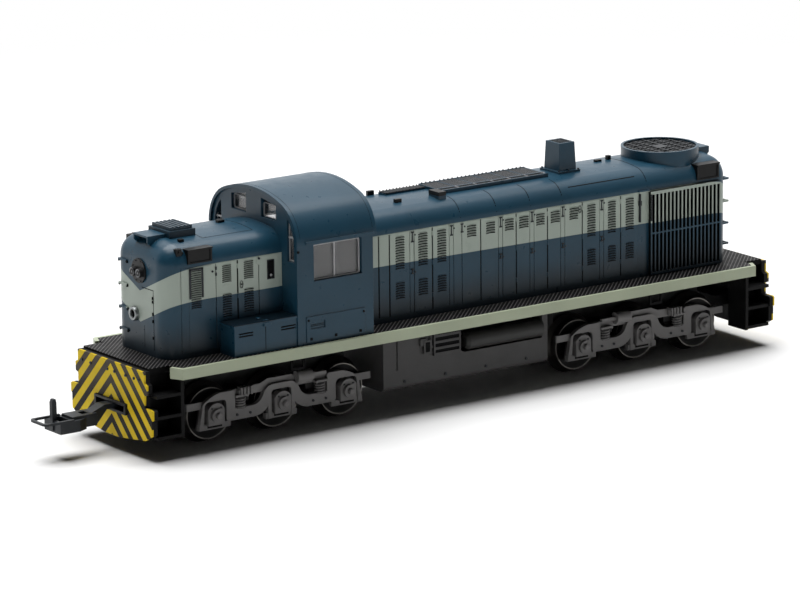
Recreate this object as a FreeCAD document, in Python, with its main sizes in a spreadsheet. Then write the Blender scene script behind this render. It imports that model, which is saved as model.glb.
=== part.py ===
"""Scale model of a six-axle road-switcher diesel locomotive, 1:87, in millimetres.

+X points to the short hood's end, +Y to the left side and +Z up. The origin is on the floor
under the middle of the model: the wheels' flanges stand on z = 0.
"""
import FreeCAD, Part
import math
import os
import re
import Sketcher

V = FreeCAD.Vector
doc = FreeCAD.newDocument("locomotive")

# ---------------------------------------------------------------- driving dimensions
# name, millimetres (degrees where the name says so)
SIZES = [
    ("deck_top", 20.0), ("deck_plate", 1.2), ("deck_half", 17.9), ("deck_end", 79.0),
    ("sill_height", 2.4), ("sill_thick", 0.9), ("corner_out", 1.4), ("corner_in", 2.9),
    ("tongue_half", 13.1), ("pilot_back", 84.5), ("pilot_thick", 1.4), ("pilot_low_half", 16.0),
    ("pilot_shoulder", 11.6), ("pilot_corner", 5.8), ("pilot_skirt", 4.3), ("pilot_bottom", 3.0),
    ("well_wall", 78.4), ("well_back", 9.6),
    ("frame_half", 8.0), ("frame_depth", 2.4), ("frame_end", 77.0),
    ("hood_half", 10.6), ("hood_top", 45.4), ("hood_spring", 40.3), ("hood_corner", 4.6),
    ("hood_skin", 1.2), ("short_end", 78.0), ("long_end", 76.8), ("short_round", 4.3), ("long_round", 3.2),
    ("cab_front", 48.2), ("cab_back", 28.1), ("cab_half", 16.5), ("cab_wall", 1.0), ("cab_spring", 42.2),
    ("cab_corner", 8.6), ("cab_top", 52.2), ("roof_skin", 0.7), ("roof_over", 0.5), ("glaze_skin", 0.5),
    ("box_end", 64.5), ("box_outer", 16.2), ("box_top", 26.9),
    ("tank_front", 23.9), ("tank_back", 21.5), ("tank_half", 14.0), ("tank_bottom", 5.3),
    ("recess_low", 11.2), ("recess_core", 10.3), ("reservoir_radius", 2.05),
    ("reservoir_side", 12.9), ("reservoir_height", 13.4),
    ("fan_place", 64.8), ("fan_radius", 9.0), ("fan_top", 47.5), ("fan_wall", 0.6),
    ("stack_place", 35.9), ("stack_top", 52.1), ("stack_long", 4.9), ("stack_wide", 5.7),
    ("shutter_front", 53.2), ("shutter_back", 73.8), ("shutter_top", 39.8), ("shutter_low", 20.3),
    ("shutter_thick", 0.9), ("shutter_pitch", 1.12), ("slot_width", 0.72),
    ("truck_place", 50.0), ("axle_pitch", 17.4), ("axle_height", 6.85), ("flange_radius", 6.85),
    ("tread_radius", 5.85), ("back_half", 7.2), ("wheel_width", 2.8), ("flange_width", 0.9), ("wheel_dish", 0.55),
    ("axle_radius", 1.0), ("bore_gap", 0.05), ("gear_half", 6.2), ("gear_long", 21.0),
    ("gear_low", 4.6), ("gear_top", 15.4), ("pin_radius", 2.0),
    ("side_in", 10.7), ("beam_out", 12.4), ("box_face", 13.0), ("cover_face", 14.1),
    ("coupler_pivot", 80.0), ("coupler_height", 9.8), ("shank_half", 1.4), ("post_place", 100.7),
    ("loop_end", 104.8), ("pocket_half", 6.2), ("pocket_end", 86.4), ("head_half", 3.3), ("bar_half", 0.55),
]
# all pieces are drawn from the midpoint between the trucks, then moved by this to the middle
# of the whole length, which the single coupler sets
SHIFT = "-(loop_end - pocket_end) / 2"
dims = doc.addObject("Spreadsheet::Sheet", "Dims")
for row, (alias, number) in enumerate(SIZES, start=1):
    dims.set("A%d" % row, alias)
    dims.set("B%d" % row, str(number))
    dims.setAlias("B%d" % row, alias)
doc.recompute()

working = doc.addObject("Spreadsheet::Sheet", "Working")
ALIAS = re.compile(r"\b(" + "|".join(sorted((name for name, _ in SIZES), key=len, reverse=True)) + r")\b")


def linked(expression):
    """The expression with its names pointing at the sheet's cells."""
    return ALIAS.sub(r"Dims.\1", str(expression))


def number(expression):
    """The value of an expression of the sheet's names, worked out on a sheet of its own."""
    working.set("A1", "=" + linked(expression))
    working.recompute()
    return float(working.get("A1"))


def bind(thing, prop, expression):
    """Drive a property of a document object from the sheet."""
    thing.setExpression(prop, linked(expression))


# ---------------------------------------------------------------- building helpers
spots = {}


def box(name, corner, size):
    """Block from its lowest corner and its three lengths, as expressions."""
    block = doc.addObject("Part::Box", name)
    for prop, expression in zip(("Length", "Width", "Height"), size):
        bind(block, prop, expression)
    for axis, expression in zip("xyz", corner):
        bind(block, "Placement.Base." + axis, expression)
    spots[block.Name] = corner[0]
    return block


def rod(name, start, radius, length, axis):
    """Round bar from the centre of its first end, along a unit axis."""
    bar = doc.addObject("Part::Cylinder", name)
    bind(bar, "Radius", radius)
    bind(bar, "Height", length)
    bar.Placement = FreeCAD.Placement(V(0, 0, 0), FreeCAD.Rotation(V(0, 0, 1), V(*axis)))
    for letter, expression in zip("xyz", start):
        bind(bar, "Placement.Base." + letter, expression)
    spots[bar.Name] = start[0]
    return bar


def fuse(label, pieces):
    """One solid from pieces that touch or overlap."""
    joined = doc.addObject("Part::MultiFuse", "Fuse_" + label)
    joined.Shapes = pieces
    joined.Refine = True
    joined.Label = label
    return joined


def cut(label, base, tool):
    """The base less the tool."""
    rest = doc.addObject("Part::Cut", "Cut_" + label)
    rest.Base = base
    rest.Tool = tool
    rest.Refine = True
    rest.Label = label
    return rest


def body(label):
    """Empty body for sketched features."""
    made = doc.addObject("PartDesign::Body", "Body_" + label)
    made.Label = label
    return made


def sketch(owner, plane, loops, offset="0"):
    """Sketch on an origin plane of its body.

    Each loop is a list of corners (x, y) joined by lines, or (x, y, r) where an arc of radius r
    runs to the next corner, turning left for r > 0 and right for r < 0. A loop of one corner
    (x, y, r) is a full circle.
    """
    made = owner.newObject("Sketcher::SketchObject", "Sketch")
    base = [item for item in owner.Origin.OriginFeatures if item.Role == plane][0]
    made.AttachmentSupport = [(base, "")]
    made.MapMode = "FlatFace"
    bind(made, "AttachmentOffset.Base.z", offset)
    for loop in loops:
        draw_loop(made, loop)
    return made


def pin_down(made, index, end, x, y):
    """Tie a point of the sketch to its two expressions."""
    for kind, expression in (("DistanceX", x), ("DistanceY", y)):
        place = made.addConstraint(Sketcher.Constraint(kind, -1, 1, index, end, number(expression)))
        made.setExpression("Constraints[%d]" % place, linked(expression))


def draw_loop(made, loop):
    """Add one closed outline to a sketch."""
    if len(loop) == 1:
        x, y, r = loop[0]
        circle = Part.Circle(V(number(x), number(y), 0), V(0, 0, 1), number(r))
        index = made.addGeometry(circle)
        pin_down(made, index, 3, x, y)
        place = made.addConstraint(Sketcher.Constraint("Radius", index, number(r)))
        made.setExpression("Constraints[%d]" % place, linked(r))
        return
    points = [V(number(corner[0]), number(corner[1]), 0) for corner in loop]
    ends = []
    for place, corner in enumerate(loop):
        start, stop = points[place], points[(place + 1) % len(loop)]
        if len(corner) == 2:
            index = made.addGeometry(Part.LineSegment(start, stop))
            ends.append((index, 1, 2))
            continue
        radius = number(corner[2])
        chord = stop.sub(start)
        rise = math.sqrt(max(0.0, radius * radius - chord.Length ** 2 / 4))
        normal = V(-chord.y, chord.x, 0).normalize()
        side = 1 if radius > 0 else -1
        centre = (start + stop).multiply(0.5) + normal.multiply(side * rise)
        first, last = (start, stop) if radius > 0 else (stop, start)
        a = math.atan2(first.y - centre.y, first.x - centre.x)
        b = math.atan2(last.y - centre.y, last.x - centre.x)
        if b <= a:
            b += 2 * math.pi
        arc = Part.ArcOfCircle(Part.Circle(centre, V(0, 0, 1), abs(radius)), a, b)
        index = made.addGeometry(arc)
        ends.append((index, 1, 2) if radius > 0 else (index, 2, 1))
        place = made.addConstraint(Sketcher.Constraint("Radius", index, abs(radius)))
        made.setExpression("Constraints[%d]" % place, linked("abs(" + str(corner[2]) + ")"))
    for place, corner in enumerate(loop):
        index, first, _ = ends[place]
        before, _, last = ends[place - 1]
        made.addConstraint(Sketcher.Constraint("Coincident", before, last, index, first))
        pin_down(made, index, first, corner[0], corner[1])


def pad(owner, profile, length, reverse=False, middle=False):
    """Pad a sketch; the length is an expression."""
    made = owner.newObject("PartDesign::Pad", "Pad")
    made.Profile = profile
    bind(made, "Length", length)
    made.Reversed = reverse
    made.SideType = "Symmetric" if middle else "One side"
    profile.Visibility = False
    doc.recompute()
    return made


def pocket(owner, profile, length, reverse=False, middle=False):
    """Pocket a sketch and make sure that it takes something away."""
    before = owner.Shape.Volume
    made = owner.newObject("PartDesign::Pocket", "Pocket")
    made.Profile = profile
    bind(made, "Length", length)
    made.Reversed = reverse
    made.SideType = "Symmetric" if middle else "One side"
    doc.recompute()
    if not owner.Shape.Volume < before - 1e-6:
        raise ValueError("a pocket of %s cuts nothing" % owner.Label)
    return made


def fillet(owner, radius, chosen):
    """Round the edges of the body's last feature that the test picks."""
    tip = owner.Tip
    names = ["Edge%d" % (place + 1) for place, edge in enumerate(tip.Shape.Edges) if chosen(edge)]
    made = owner.newObject("PartDesign::Fillet", "Fillet")
    made.Base = (tip, names)
    bind(made, "Radius", radius)
    doc.recompute()
    return made


def arch(half, spring, corner, top, low, grow="0"):
    """Hood section: straight sides, two corner arcs and one wide top arc.

    grow moves the whole outline outwards (less than zero for the hollow).
    """
    reach = "(%s - %s)" % (half, corner)
    rise = "(%s - %s)" % (top, spring)
    wide = "((%s * %s + %s * %s - %s * %s) / (2 * (%s - %s)))" % (
        reach, reach, rise, rise, corner, corner, rise, corner)
    # the arcs meet on the line through both centres
    share = "(%s / (%s - %s))" % (reach, wide, corner)
    up = "((%s - %s + %s) / (%s - %s))" % (spring, top, wide, wide, corner)
    meet_y = "((%s + %s) * %s)" % (wide, grow, share)
    meet_z = "(%s - %s + (%s + %s) * %s)" % (top, wide, wide, grow, up)
    side = "(%s + %s)" % (half, grow)
    return [
        ("-" + side, low), (side, low),
        (side, spring, "(%s + %s)" % (corner, grow)),
        (meet_y, meet_z, "(%s + %s)" % (wide, grow)),
        ("-" + meet_y, meet_z, "(%s + %s)" % (corner, grow)),
        ("-" + side, spring),
    ]


def side_pad(owner, loops, side, near, far):
    """Pad an outline (x, z) from near to far, both measured from the centre plane; side is 1 or -1."""
    drawn = sketch(owner, "XZ_Plane", loops, "%d * (%s)" % (-side, near))
    return pad(owner, drawn, "(%s) - (%s)" % (far, near), side > 0)


def side_pocket(owner, loops, side, outer, depth):
    """Pocket an outline (x, z) inwards from the distance outer; side is 1 or -1."""
    drawn = sketch(owner, "XZ_Plane", loops, "%d * (%s)" % (-side, outer))
    return pocket(owner, drawn, depth, side > 0)


def rect(x0, z0, x1, z1):
    """Rectangle loop from its two corners."""
    return [(x0, z0), (x1, z0), (x1, z1), (x0, z1)]


def mirrored(half):
    """Whole loop from the half with positive first coordinates, run from top to bottom."""
    return half + [("-(%s)" % corner[0],) + tuple(corner[1:]) for corner in reversed(half)]


def ring(name, start, outer, inner, length, axis):
    """Round tube."""
    return cut(name, rod(name + "Out", start, outer, length, axis), rod(name + "In", start, inner, length, axis))


def turned(owner, plane, loop):
    """Revolve a loop about the sketch's horizontal axis."""
    drawn = sketch(owner, plane, [loop])
    spin = owner.newObject("PartDesign::Revolution", "Revolution")
    spin.Profile = drawn
    spin.ReferenceAxis = (drawn, ["H_Axis"])
    spin.Angle = 360
    drawn.Visibility = False
    doc.recompute()
    return spin


parts = []


def finish(thing, label):
    """Enter a finished sub-part under its label and move it to the model's origin."""
    thing.Label = label
    bind(thing, "Placement.Base.x", "%s + %s" % (spots.get(thing.Name, "0"), SHIFT))
    parts.append(thing)
    return thing


# ---------------------------------------------------------------- underframe and deck
spine = box("Spine", ("-frame_end", "-frame_half", "deck_top - deck_plate - frame_depth"),
            ("2 * frame_end", "2 * frame_half", "frame_depth"))
bores = fuse("king_bores", [
    rod("BoreFront", ("truck_place", "0", "10"), "pin_radius + bore_gap", "8.6", (0, 0, 1)),
    rod("BoreRear", ("-truck_place", "0", "10"), "pin_radius + bore_gap", "8.6", (0, 0, 1)),
])
finish(cut("underframe", spine, bores), "underframe")

plate = body("walkway")
corners = [
    ("pilot_back", "tongue_half"), ("deck_end + corner_out - sill_thick", "tongue_half"),
    ("deck_end + corner_out - sill_thick", "deck_half - corner_in - 0.4"),
    ("deck_end - 0.6", "deck_half - sill_thick"),
]
outline = [(x, y) for x, y in corners]
outline += [("-(%s)" % x, y) for x, y in reversed(corners)]
outline += [("-(%s)" % x, "-(%s)" % y) for x, y in corners]
outline += [(x, "-(%s)" % y) for x, y in reversed(corners)]
pad(plate, sketch(plate, "XY_Plane", [outline], "deck_top - deck_plate"), "deck_plate")
# foothold loops that hang under the deck's edge: x of the rear leg, x of the front leg
LOOPS = (("46.7", "50.3"), ("-52.3", "-48.7"))
for side in (1, -1):
    hangers = []
    for rear, front in LOOPS:
        hangers.append(rect(rear, "14.9", front, "deck_top - deck_plate + 0.1"))
        hangers.append(rect(rear + " + 0.5", "15.4", front + " - 0.5", "deck_top - deck_plate - 0.4"))
    side_pad(plate, hangers, side, "deck_half - 1.5", "deck_half - 1.1")
finish(plate, "walkway")

for label, side in (("sill_left", 1), ("sill_right", -1)):
    strip = body(label + "_strip")
    sign = "" if side > 0 else "-"
    run = [
        ("deck_end + corner_out", sign + "(deck_half - corner_in)"), ("deck_end", sign + "deck_half"),
        ("-deck_end", sign + "deck_half"), ("-(deck_end + corner_out)", sign + "(deck_half - corner_in)"),
        ("-(deck_end + corner_out - sill_thick)", sign + "(deck_half - corner_in - 0.4)"),
        ("-(deck_end - 0.6)", sign + "(deck_half - sill_thick)"),
        ("deck_end - 0.6", sign + "(deck_half - sill_thick)"),
        ("deck_end + corner_out - sill_thick", sign + "(deck_half - corner_in - 0.4)"),
    ]
    pad(strip, sketch(strip, "XY_Plane", [run], "deck_top - sill_height"), "sill_height")
    finish(strip, label)

# ---------------------------------------------------------------- pilots with their step wells
STEPS = (4.7, 9.2, 13.8)
for label, way in (("pilot_front", 1), ("pilot_rear", -1)):
    end = body(label + "_face")
    half = [
        ("13.3", "deck_top - 0.5"), ("13.3", "17.0"), ("14.3", "16.6"), ("14.3", "14.6"), ("13.3", "14.2"),
        ("13.3", "pilot_shoulder"), ("pilot_low_half", "pilot_shoulder"),
        ("pilot_low_half + 0.4", "11.3"), ("pilot_low_half + 0.4", "9.4"),
        ("pilot_low_half", "9.1"), ("pilot_low_half", "pilot_corner"),
        ("tongue_half", "pilot_skirt"), ("3.0", "pilot_bottom"),
    ]
    mouth = rect("-(pocket_half + 0.2)", "coupler_height - 1.3", "pocket_half + 0.2", "coupler_height + 1.3")
    where = "pilot_back" if way > 0 else "-pilot_back - pilot_thick"
    pad(end, sketch(end, "YZ_Plane", [mirrored(half), mouth], where), "pilot_thick")
    pieces = [end]
    # the wells start at the wall nearest to the truck and run to the back of the face
    wall = "well_wall - 0.8" if way > 0 else "-well_wall"
    first = "well_wall - 0.8" if way > 0 else "-pilot_back"
    for side, tag in ((1, "L"), (-1, "R")):
        low = "well_back" if side > 0 else "-pilot_low_half"
        inside = "well_back" if side > 0 else "-well_back - 0.8"
        pieces.append(box(label + "Wall" + tag, (wall, low, "4.5"), ("0.8", "pilot_low_half - well_back", "13.1")))
        pieces.append(box(label + "Back" + tag, (first, inside, "4.5"),
                          ("pilot_back - well_wall + 0.8", "0.8", "14.3")))
        for level, height in enumerate(STEPS):
            pieces.append(box("%sStep%s%d" % (label, tag, level), (first, low, str(height)),
                              ("pilot_back - well_wall + 0.8", "pilot_low_half - well_back", "0.7")))
    finish(fuse(label, pieces), label)

# ---------------------------------------------------------------- hoods
HOODS = (
    # label, start, length, far end, its rounding, runs to the rear
    ("short_hood", "cab_front", "short_end - cab_front", "short_end", "short_round", False),
    ("long_hood", "cab_back", "long_end + cab_back", "-long_end", "long_round", True),
)
moulds = {}
for label, start, length, end, rounding, reverse in HOODS:
    mould = body(label + "_mould")
    section = arch("hood_half", "hood_spring", "hood_corner", "hood_top", "deck_top")
    pad(mould, sketch(mould, "YZ_Plane", [section], start), length, reverse)
    far = number(end)
    low = number("deck_top")
    fillet(mould, rounding, lambda edge: edge.BoundBox.XLength < 1e-6
           and abs(edge.BoundBox.XMin - far) < 1e-6 and edge.BoundBox.ZMax > low + 1)
    core = body(label + "_core")
    inner = arch("hood_half", "hood_spring", "hood_corner", "hood_top", "deck_top - 1", "(-hood_skin)")
    pad(core, sketch(core, "YZ_Plane", [inner], start), length + " - 2.8", reverse)
    moulds[label] = (mould, cut(label + "_shell", mould, core))


def on_hood(label, hood, pieces):
    """Fitting fused from pieces and trimmed to the hood's outer face."""
    whole = fuse(label + "_whole", pieces) if len(pieces) > 1 else pieces[0]
    return cut(label, whole, moulds[hood][0])


RUNGS = ("39.3", "34.0", "28.8", "24.0")


def ladder(hood, heights, near, far, low, way):
    """Grab irons as bent bars on one corner of a hood's end, from y low outwards."""
    irons = []
    for place, z in enumerate(heights):
        bar = box("%sBar%d" % (hood, place), (near, low, z), (far, "3.1", "0.45"))
        gap = box("%sGap%d" % (hood, place), ("%s - 0.45 * %d" % (near, way), "%s + 0.45" % low, "%s - 0.1" % z),
                  (far, "2.2", "0.65"))
        irons.append(cut("%sGrab%d" % (hood, place), bar, gap))
    return irons


short_bits = [moulds["short_hood"][1]] + ladder("Nose", RUNGS, "76.2", "2.15", "-8.0", 1)
for tag, y in (("", "8.9"), ("Far", "-9.9")):
    short_bits.append(box("Lug" + tag, ("73.6", y, "42.6"), ("1.2", "1.0", "1.5")))
short_bits.append(box("Cap", ("54.7", "-3.0", "45.1"), ("1.5", "1.2", "0.8")))

# sun shades over both ends: side outline of the plate with its two cheeks, towards the front
SHADE = [("72.9", "44.4"), ("75.0", "44.4"), ("76.2", "43.4"), ("77.6", "44.7"), ("77.6", "46.1"), ("72.9", "46.1")]


def shade(label, outline, inner):
    """Thin plate on two cheeks over a hood's end."""
    visor = body(label)
    side_pad(visor, [outline], 1, "-2.8", "2.8")
    return cut(label + "Open", visor, box(label + "Inner", inner, ("6", "4.9", "3.7")))


short_bits.append(shade("ShadeFront", SHADE, ("73.5", "-2.45", "42.0")))
finish(fuse("short_hood", short_bits), "short_hood")

long_bits = [moulds["long_hood"][1]] + ladder("End", RUNGS, "-77.5", "2.3", "6.6", -1)
# small fittings on the roof: x and y of the lowest corner, length, width, top
ROOF = (
    ("12.0", "-6.5", "1.6", "0.8", "46.0"), ("11.9", "3.9", "1.6", "0.8", "45.9"),
    ("-49.0", "-2.4", "1.6", "0.9", "45.8"), ("-52.0", "-2.8", "0.9", "0.9", "46.3"),
    ("1.3", "3.1", "2.0", "3.8", "46.5"),
)
for place, (x, y, length, width, top) in enumerate(ROOF):
    long_bits.append(box("RoofLug%d" % place, (x, y, "44.3"), (length, width, "%s - 44.3" % top)))
for side, y in (("L", "hood_half - 0.2"), ("R", "-hood_half - 0.35")):
    long_bits.append(box("Eaves" + side, ("-53.3", y, "39.8"), ("3.1", "0.55", "0.5")))
fan_clear = rod("FanClear", ("-fan_place", "0", "40"), "fan_radius + 0.1", "10", (0, 0, 1))
rear_shade = shade("ShadeRear", [("-(%s) + 0.4" % x, z) for x, z in reversed(SHADE)], ("-79.1", "-2.45", "42.0"))
long_bits.append(cut("ShadeTrim", rear_shade, fan_clear))
finish(fuse("long_hood", long_bits), "long_hood")

# ---------------------------------------------------------------- cab
def vault(low, grow="0", long_from="0"):
    """Cab section grown outwards by grow."""
    return arch("cab_half", "cab_spring", "cab_corner", "cab_top", low, grow)


cab = body("cab_shell")
pad(cab, sketch(cab, "YZ_Plane", [vault("deck_top")], "cab_back"), "cab_front - cab_back")
pocket(cab, sketch(cab, "YZ_Plane", [vault("deck_top", "(-cab_wall)")], "cab_back + cab_wall"),
       "cab_front - cab_back - 2 * cab_wall", True)
pocket(cab, sketch(cab, "XZ_Plane", [rect("31.1", "33.9", "43.8", "42.0")]), "60", False, True)
PANES = []
for sign in ("", "-"):
    PANES.append([(sign + "2.9", "46.5"), (sign + "8.7", "46.5"), (sign + "8.7", "49.9"), (sign + "2.9", "50.8")])
tall = [("12.8", "38.3"), ("15.4", "38.3"), ("15.4", "42.2", "7.4"), ("12.8", "47.79")]
tall_far = [("-15.4", "38.3"), ("-12.8", "38.3"), ("-12.8", "47.79", "7.4"), ("-15.4", "42.2")]
pocket(cab, sketch(cab, "YZ_Plane", PANES + [tall, tall_far], "38"), "40", False, True)
# raised access panel and its handle on each side
for side in (1, -1):
    side_pad(cab, [rect("30.5", "20.5", "46.0", "26.2")], side, "cab_half - 0.1", "cab_half + 0.2")
    side_pocket(cab, [rect("41.1", "23.4", "45.0", "25.0")], side, "cab_half + 0.2", "0.25")
finish(cab, "cab_shell")

roof = body("cab_roof")
outer = arch("cab_half", "cab_spring", "cab_corner", "cab_top", "cab_spring", "roof_skin")[1:]
inner = arch("cab_half", "cab_spring", "cab_corner", "cab_top", "cab_spring")[1:]
# outer outline from right to left, then the inner one back
out_side, out_a, out_b, out_c, out_end = outer
in_side, in_a, in_b, in_c, in_end = inner
roof_loop = [
    (out_a[0], out_a[1], out_a[2]), (out_b[0], out_b[1], out_b[2]), (out_c[0], out_c[1], out_c[2]),
    (out_end[0], out_end[1]), (in_end[0], in_end[1], "-" + in_c[2]), (in_c[0], in_c[1], "-" + in_b[2]),
    (in_b[0], in_b[1], "-" + in_a[2]), (in_a[0], in_a[1]),
]
pad(roof, sketch(roof, "YZ_Plane", [roof_loop], "cab_back - roof_over"), "cab_front - cab_back + 2 * roof_over")
for side in (1, -1):
    side_pad(roof, [rect("28.5", "42.5", "46.4", "43.1")], side, "cab_half + 0.3", "cab_half + roof_skin + 0.35")
finish(roof, "cab_roof")

glass = body("cab_glazing")
pad(glass, sketch(glass, "YZ_Plane", [vault("deck_top", "(-cab_wall)")], "cab_back + cab_wall"),
    "cab_front - cab_back - 2 * cab_wall")
pocket(glass, sketch(glass, "YZ_Plane", [vault("deck_top", "(-cab_wall - glaze_skin)")],
                     "cab_back + cab_wall + glaze_skin"),
       "cab_front - cab_back - 2 * cab_wall - 2 * glaze_skin", True)
finish(glass, "cab_glazing")

# ---------------------------------------------------------------- fittings of the hoods
finish(box("motor", ("-18", "-7.5", "deck_top"), ("36", "15", "17")), "motor_block")

for label, x, way in (("headlight_front", "short_end", 1), ("headlight_rear", "-long_end", -1)):
    pieces = [rod(label + "Plate", (x, "0", "38.2"), "2.7", "0.35", (way, 0, 0))]
    for tag, y in (("L", "1.2"), ("R", "-1.2")):
        pieces.append(rod(label + tag, (x, y, "38.0"), "1.0", "1.2", (way, 0, 0)))
    finish(fuse(label, pieces), label)

BOARDS = [
    # label, hood, x of the rear and front ends, z of the lower and upper edges, side
    ("number_board_front_left", "short_hood", "66.4", "72.6", "40.7", "43.9", 1),
    ("number_board_front_right", "short_hood", "66.4", "72.6", "40.7", "43.9", -1),
    ("number_board_rear_left", "long_hood", "-73.6", "-67.2", "40.5", "44.1", 1),
    ("number_board_rear_right", "long_hood", "-73.6", "-67.2", "40.5", "44.1", -1),
]
for label, hood, rear, front, low, top, side in BOARDS:
    case = body(label + "_case")
    side_pad(case, [rect(rear, low, front, top)], side, "7.2", "hood_half + 0.35")
    side_pocket(case, [rect(rear + " + 0.4", low + " + 0.3", front + " - 0.4", top + " - 0.5")], side,
                "hood_half + 0.35", "0.25")
    side_pad(case, [rect(rear + " - 0.1", top + " - 0.3", front + " + 0.1", top)], side,
             "7.2", "hood_half + 0.6")
    finish(cut(label, case, moulds[hood][0]), label)

vent = body("vent_block")
pad(vent, sketch(vent, "XY_Plane", [rect("66.2", "-4.2", "72.8", "4.2")], "43.6"), "3.1")
pad(vent, sketch(vent, "XY_Plane", [rect("66.7", "-3.7", "72.2", "3.7")], "46.4"), "1.05")
slot = pocket(vent, sketch(vent, "XY_Plane", [rect("67.2", "-3.8", "67.6", "3.8")], "47.45"), "0.3")
ribs = vent.newObject("PartDesign::LinearPattern", "Ribs")
ribs.Originals = [slot]
ribs.Direction = (slot.Profile[0], ["H_Axis"])
ribs.Length = 4.1
ribs.Occurrences = 5
vent.Tip = ribs
doc.recompute()
finish(cut("nose_vent", vent, moulds["short_hood"][0]), "nose_vent")

# roof hatch: bed, long rails, cross bars and a strip of mesh towards the cab
hatch = [
    box("HatchBed", ("-29.6", "-5.4", "44.4"), ("29.6", "9.2", "1.2")),
    box("HatchStrip", ("0", "-5.2", "44.4"), ("11.2", "2.8", "1.2")),
]
for place, y in enumerate(("-5.4", "1.5", "3.4")):
    hatch.append(box("HatchRail%d" % place, ("-29.6", y, "44.4"), ("29.6", "0.4", "1.65")))
for place, x in enumerate((0.0, -5.0, -10.0, -14.8, -19.5, -24.3, -29.2)):
    hatch.append(box("HatchBar%d" % place, ("%s - 0.4" % x, "-5.4", "44.4"), ("0.4", "9.2", "1.55")))
finish(on_hood("roof_hatch", "long_hood", hatch), "roof_hatch")

# exhaust stack: drafted box with an open top, slats and a foot
chimney = body("chimney")
foot = rect("-stack_place - stack_long / 2", "-stack_wide / 2", "-stack_place + stack_long / 2", "stack_wide / 2")
draft = pad(chimney, sketch(chimney, "XY_Plane", [foot], "44.8"), "stack_top - 44.8")
draft.TaperAngle = -2.3
doc.recompute()
mouth = rect("-stack_place - stack_long / 2 + 0.8", "-stack_wide / 2 + 0.8",
             "-stack_place + stack_long / 2 - 0.8", "stack_wide / 2 - 0.8")
pocket(chimney, sketch(chimney, "XY_Plane", [mouth], "stack_top"), "2.4")
stack = [chimney, box("StackFoot", ("-stack_place - 3.1", "-3.5", "44.6"), ("6.2", "7.0", "1.15"))]
for place in range(3):
    stack.append(box("StackSlat%d" % place, ("-stack_place - 1.1 + %d * 0.9" % place, "-2.2", "stack_top - 1.0"),
                     ("0.35", "4.4", "0.8")))
finish(on_hood("exhaust_stack", "long_hood", stack), "exhaust_stack")

shroud = ring("Shroud", ("-fan_place", "0", "41.5"), "fan_radius", "fan_radius - fan_wall", "fan_top - 41.5",
              (0, 0, 1))
finish(on_hood("fan_shroud", "long_hood", [shroud]), "fan_shroud")
grille = [rod("Hub", ("-fan_place", "0", "45.5"), "1.5", "1.7", (0, 0, 1))]
# crossed guard bars, at these offsets from the fan's centre
for place, offset in enumerate(("-6.5", "-3.9", "-1.3", "1.3", "3.9", "6.5")):
    grille.append(box("BarX%d" % place, ("-fan_place - fan_radius", offset + " - 0.2", "46.85"),
                      ("2 * fan_radius", "0.4", "0.35")))
    grille.append(box("BarY%d" % place, ("-fan_place - 0.2 + (%s)" % offset, "-fan_radius", "46.85"),
                      ("0.4", "2 * fan_radius", "0.35")))
inner_well = rod("FanWell", ("-fan_place", "0", "44.0"), "fan_radius - fan_wall", "5", (0, 0, 1))
trimmed = doc.addObject("Part::Common", "FanCommon")
trimmed.Base = fuse("fan_disc", grille)
trimmed.Tool = inner_well
finish(trimmed, "fan_grille")

# radiator shutters: one slot pair patterned along the frame
for label, side in (("radiator_shutter_left", 1), ("radiator_shutter_right", -1)):
    panel = body(label)
    side_pad(panel, [rect("-shutter_back", "shutter_low", "-shutter_front", "shutter_top")], side,
             "hood_half", "hood_half + shutter_thick")
    slots = [rect("-shutter_back + 0.45", low, "-shutter_back + 0.45 + slot_width", high)
             for low, high in (("shutter_low + 0.6", "29.85"), ("30.2", "shutter_top - 0.7"))]
    first = side_pocket(panel, slots, side, "hood_half + shutter_thick", "shutter_thick + 1")
    row = panel.newObject("PartDesign::LinearPattern", "Slots")
    row.Originals = [first]
    row.Direction = (first.Profile[0], ["H_Axis"])
    bind(row, "Length", "17 * shutter_pitch")
    row.Occurrences = 18
    panel.Tip = row
    doc.recompute()
    finish(panel, label)

for label, side in (("battery_box_left", 1), ("battery_box_right", -1)):
    case = body(label)
    side_pad(case, [rect("cab_front", "deck_top", "box_end", "box_top - 0.5")], side, "hood_half", "box_outer")
    side_pad(case, [rect("cab_front", "box_top - 0.5", "box_end + 0.2", "box_top")], side, "hood_half",
             "box_outer + 0.2")
    slits = []
    for x0, x1 in (("48.5", "52.4"), ("59.7", "63.4")):
        for z in ("24.2", "24.8"):
            slits.append(rect(x0, z, x1, z + " + 0.3"))
    side_pocket(case, slits, side, "box_outer", "0.4")
    side_pad(case, [rect("55.2", "box_top - 1.1", "57.0", "box_top - 0.3")], side, "box_outer - 0.5",
             "box_outer + 0.4")
    finish(case, label)

# ---------------------------------------------------------------- tank and air reservoirs
block = body("tank_block")
under = "deck_top - deck_plate - frame_depth"
brim = "deck_top - deck_plate"
section = [
    ("tank_half", brim), ("frame_half", brim), ("frame_half", under), ("-frame_half", under),
    ("-frame_half", brim), ("-tank_half", brim), ("-tank_half", "tank_bottom + 1.2", "1.2"),
    ("-tank_half + 1.2", "tank_bottom"), ("tank_half - 1.2", "tank_bottom", "1.2"),
    ("tank_half", "tank_bottom + 1.2"),
]
pad(block, sketch(block, "YZ_Plane", [section], "-tank_back"), "tank_front + tank_back")
bay = body("tank_bay")
bay_loop = [("-20.0", "recess_low"), ("1.7", "recess_low"), ("6.4", "13.4"), ("6.4", brim), ("-20.0", brim)]
bay_face = sketch(bay, "XZ_Plane", [bay_loop])
pad(bay, bay_face, "40", False, True)
bay_core = box("BayCore", ("-30", "-recess_core", "5"), ("60", "2 * recess_core", "20"))
bays = cut("tank_bays", bay, bay_core)
panels = []
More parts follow.
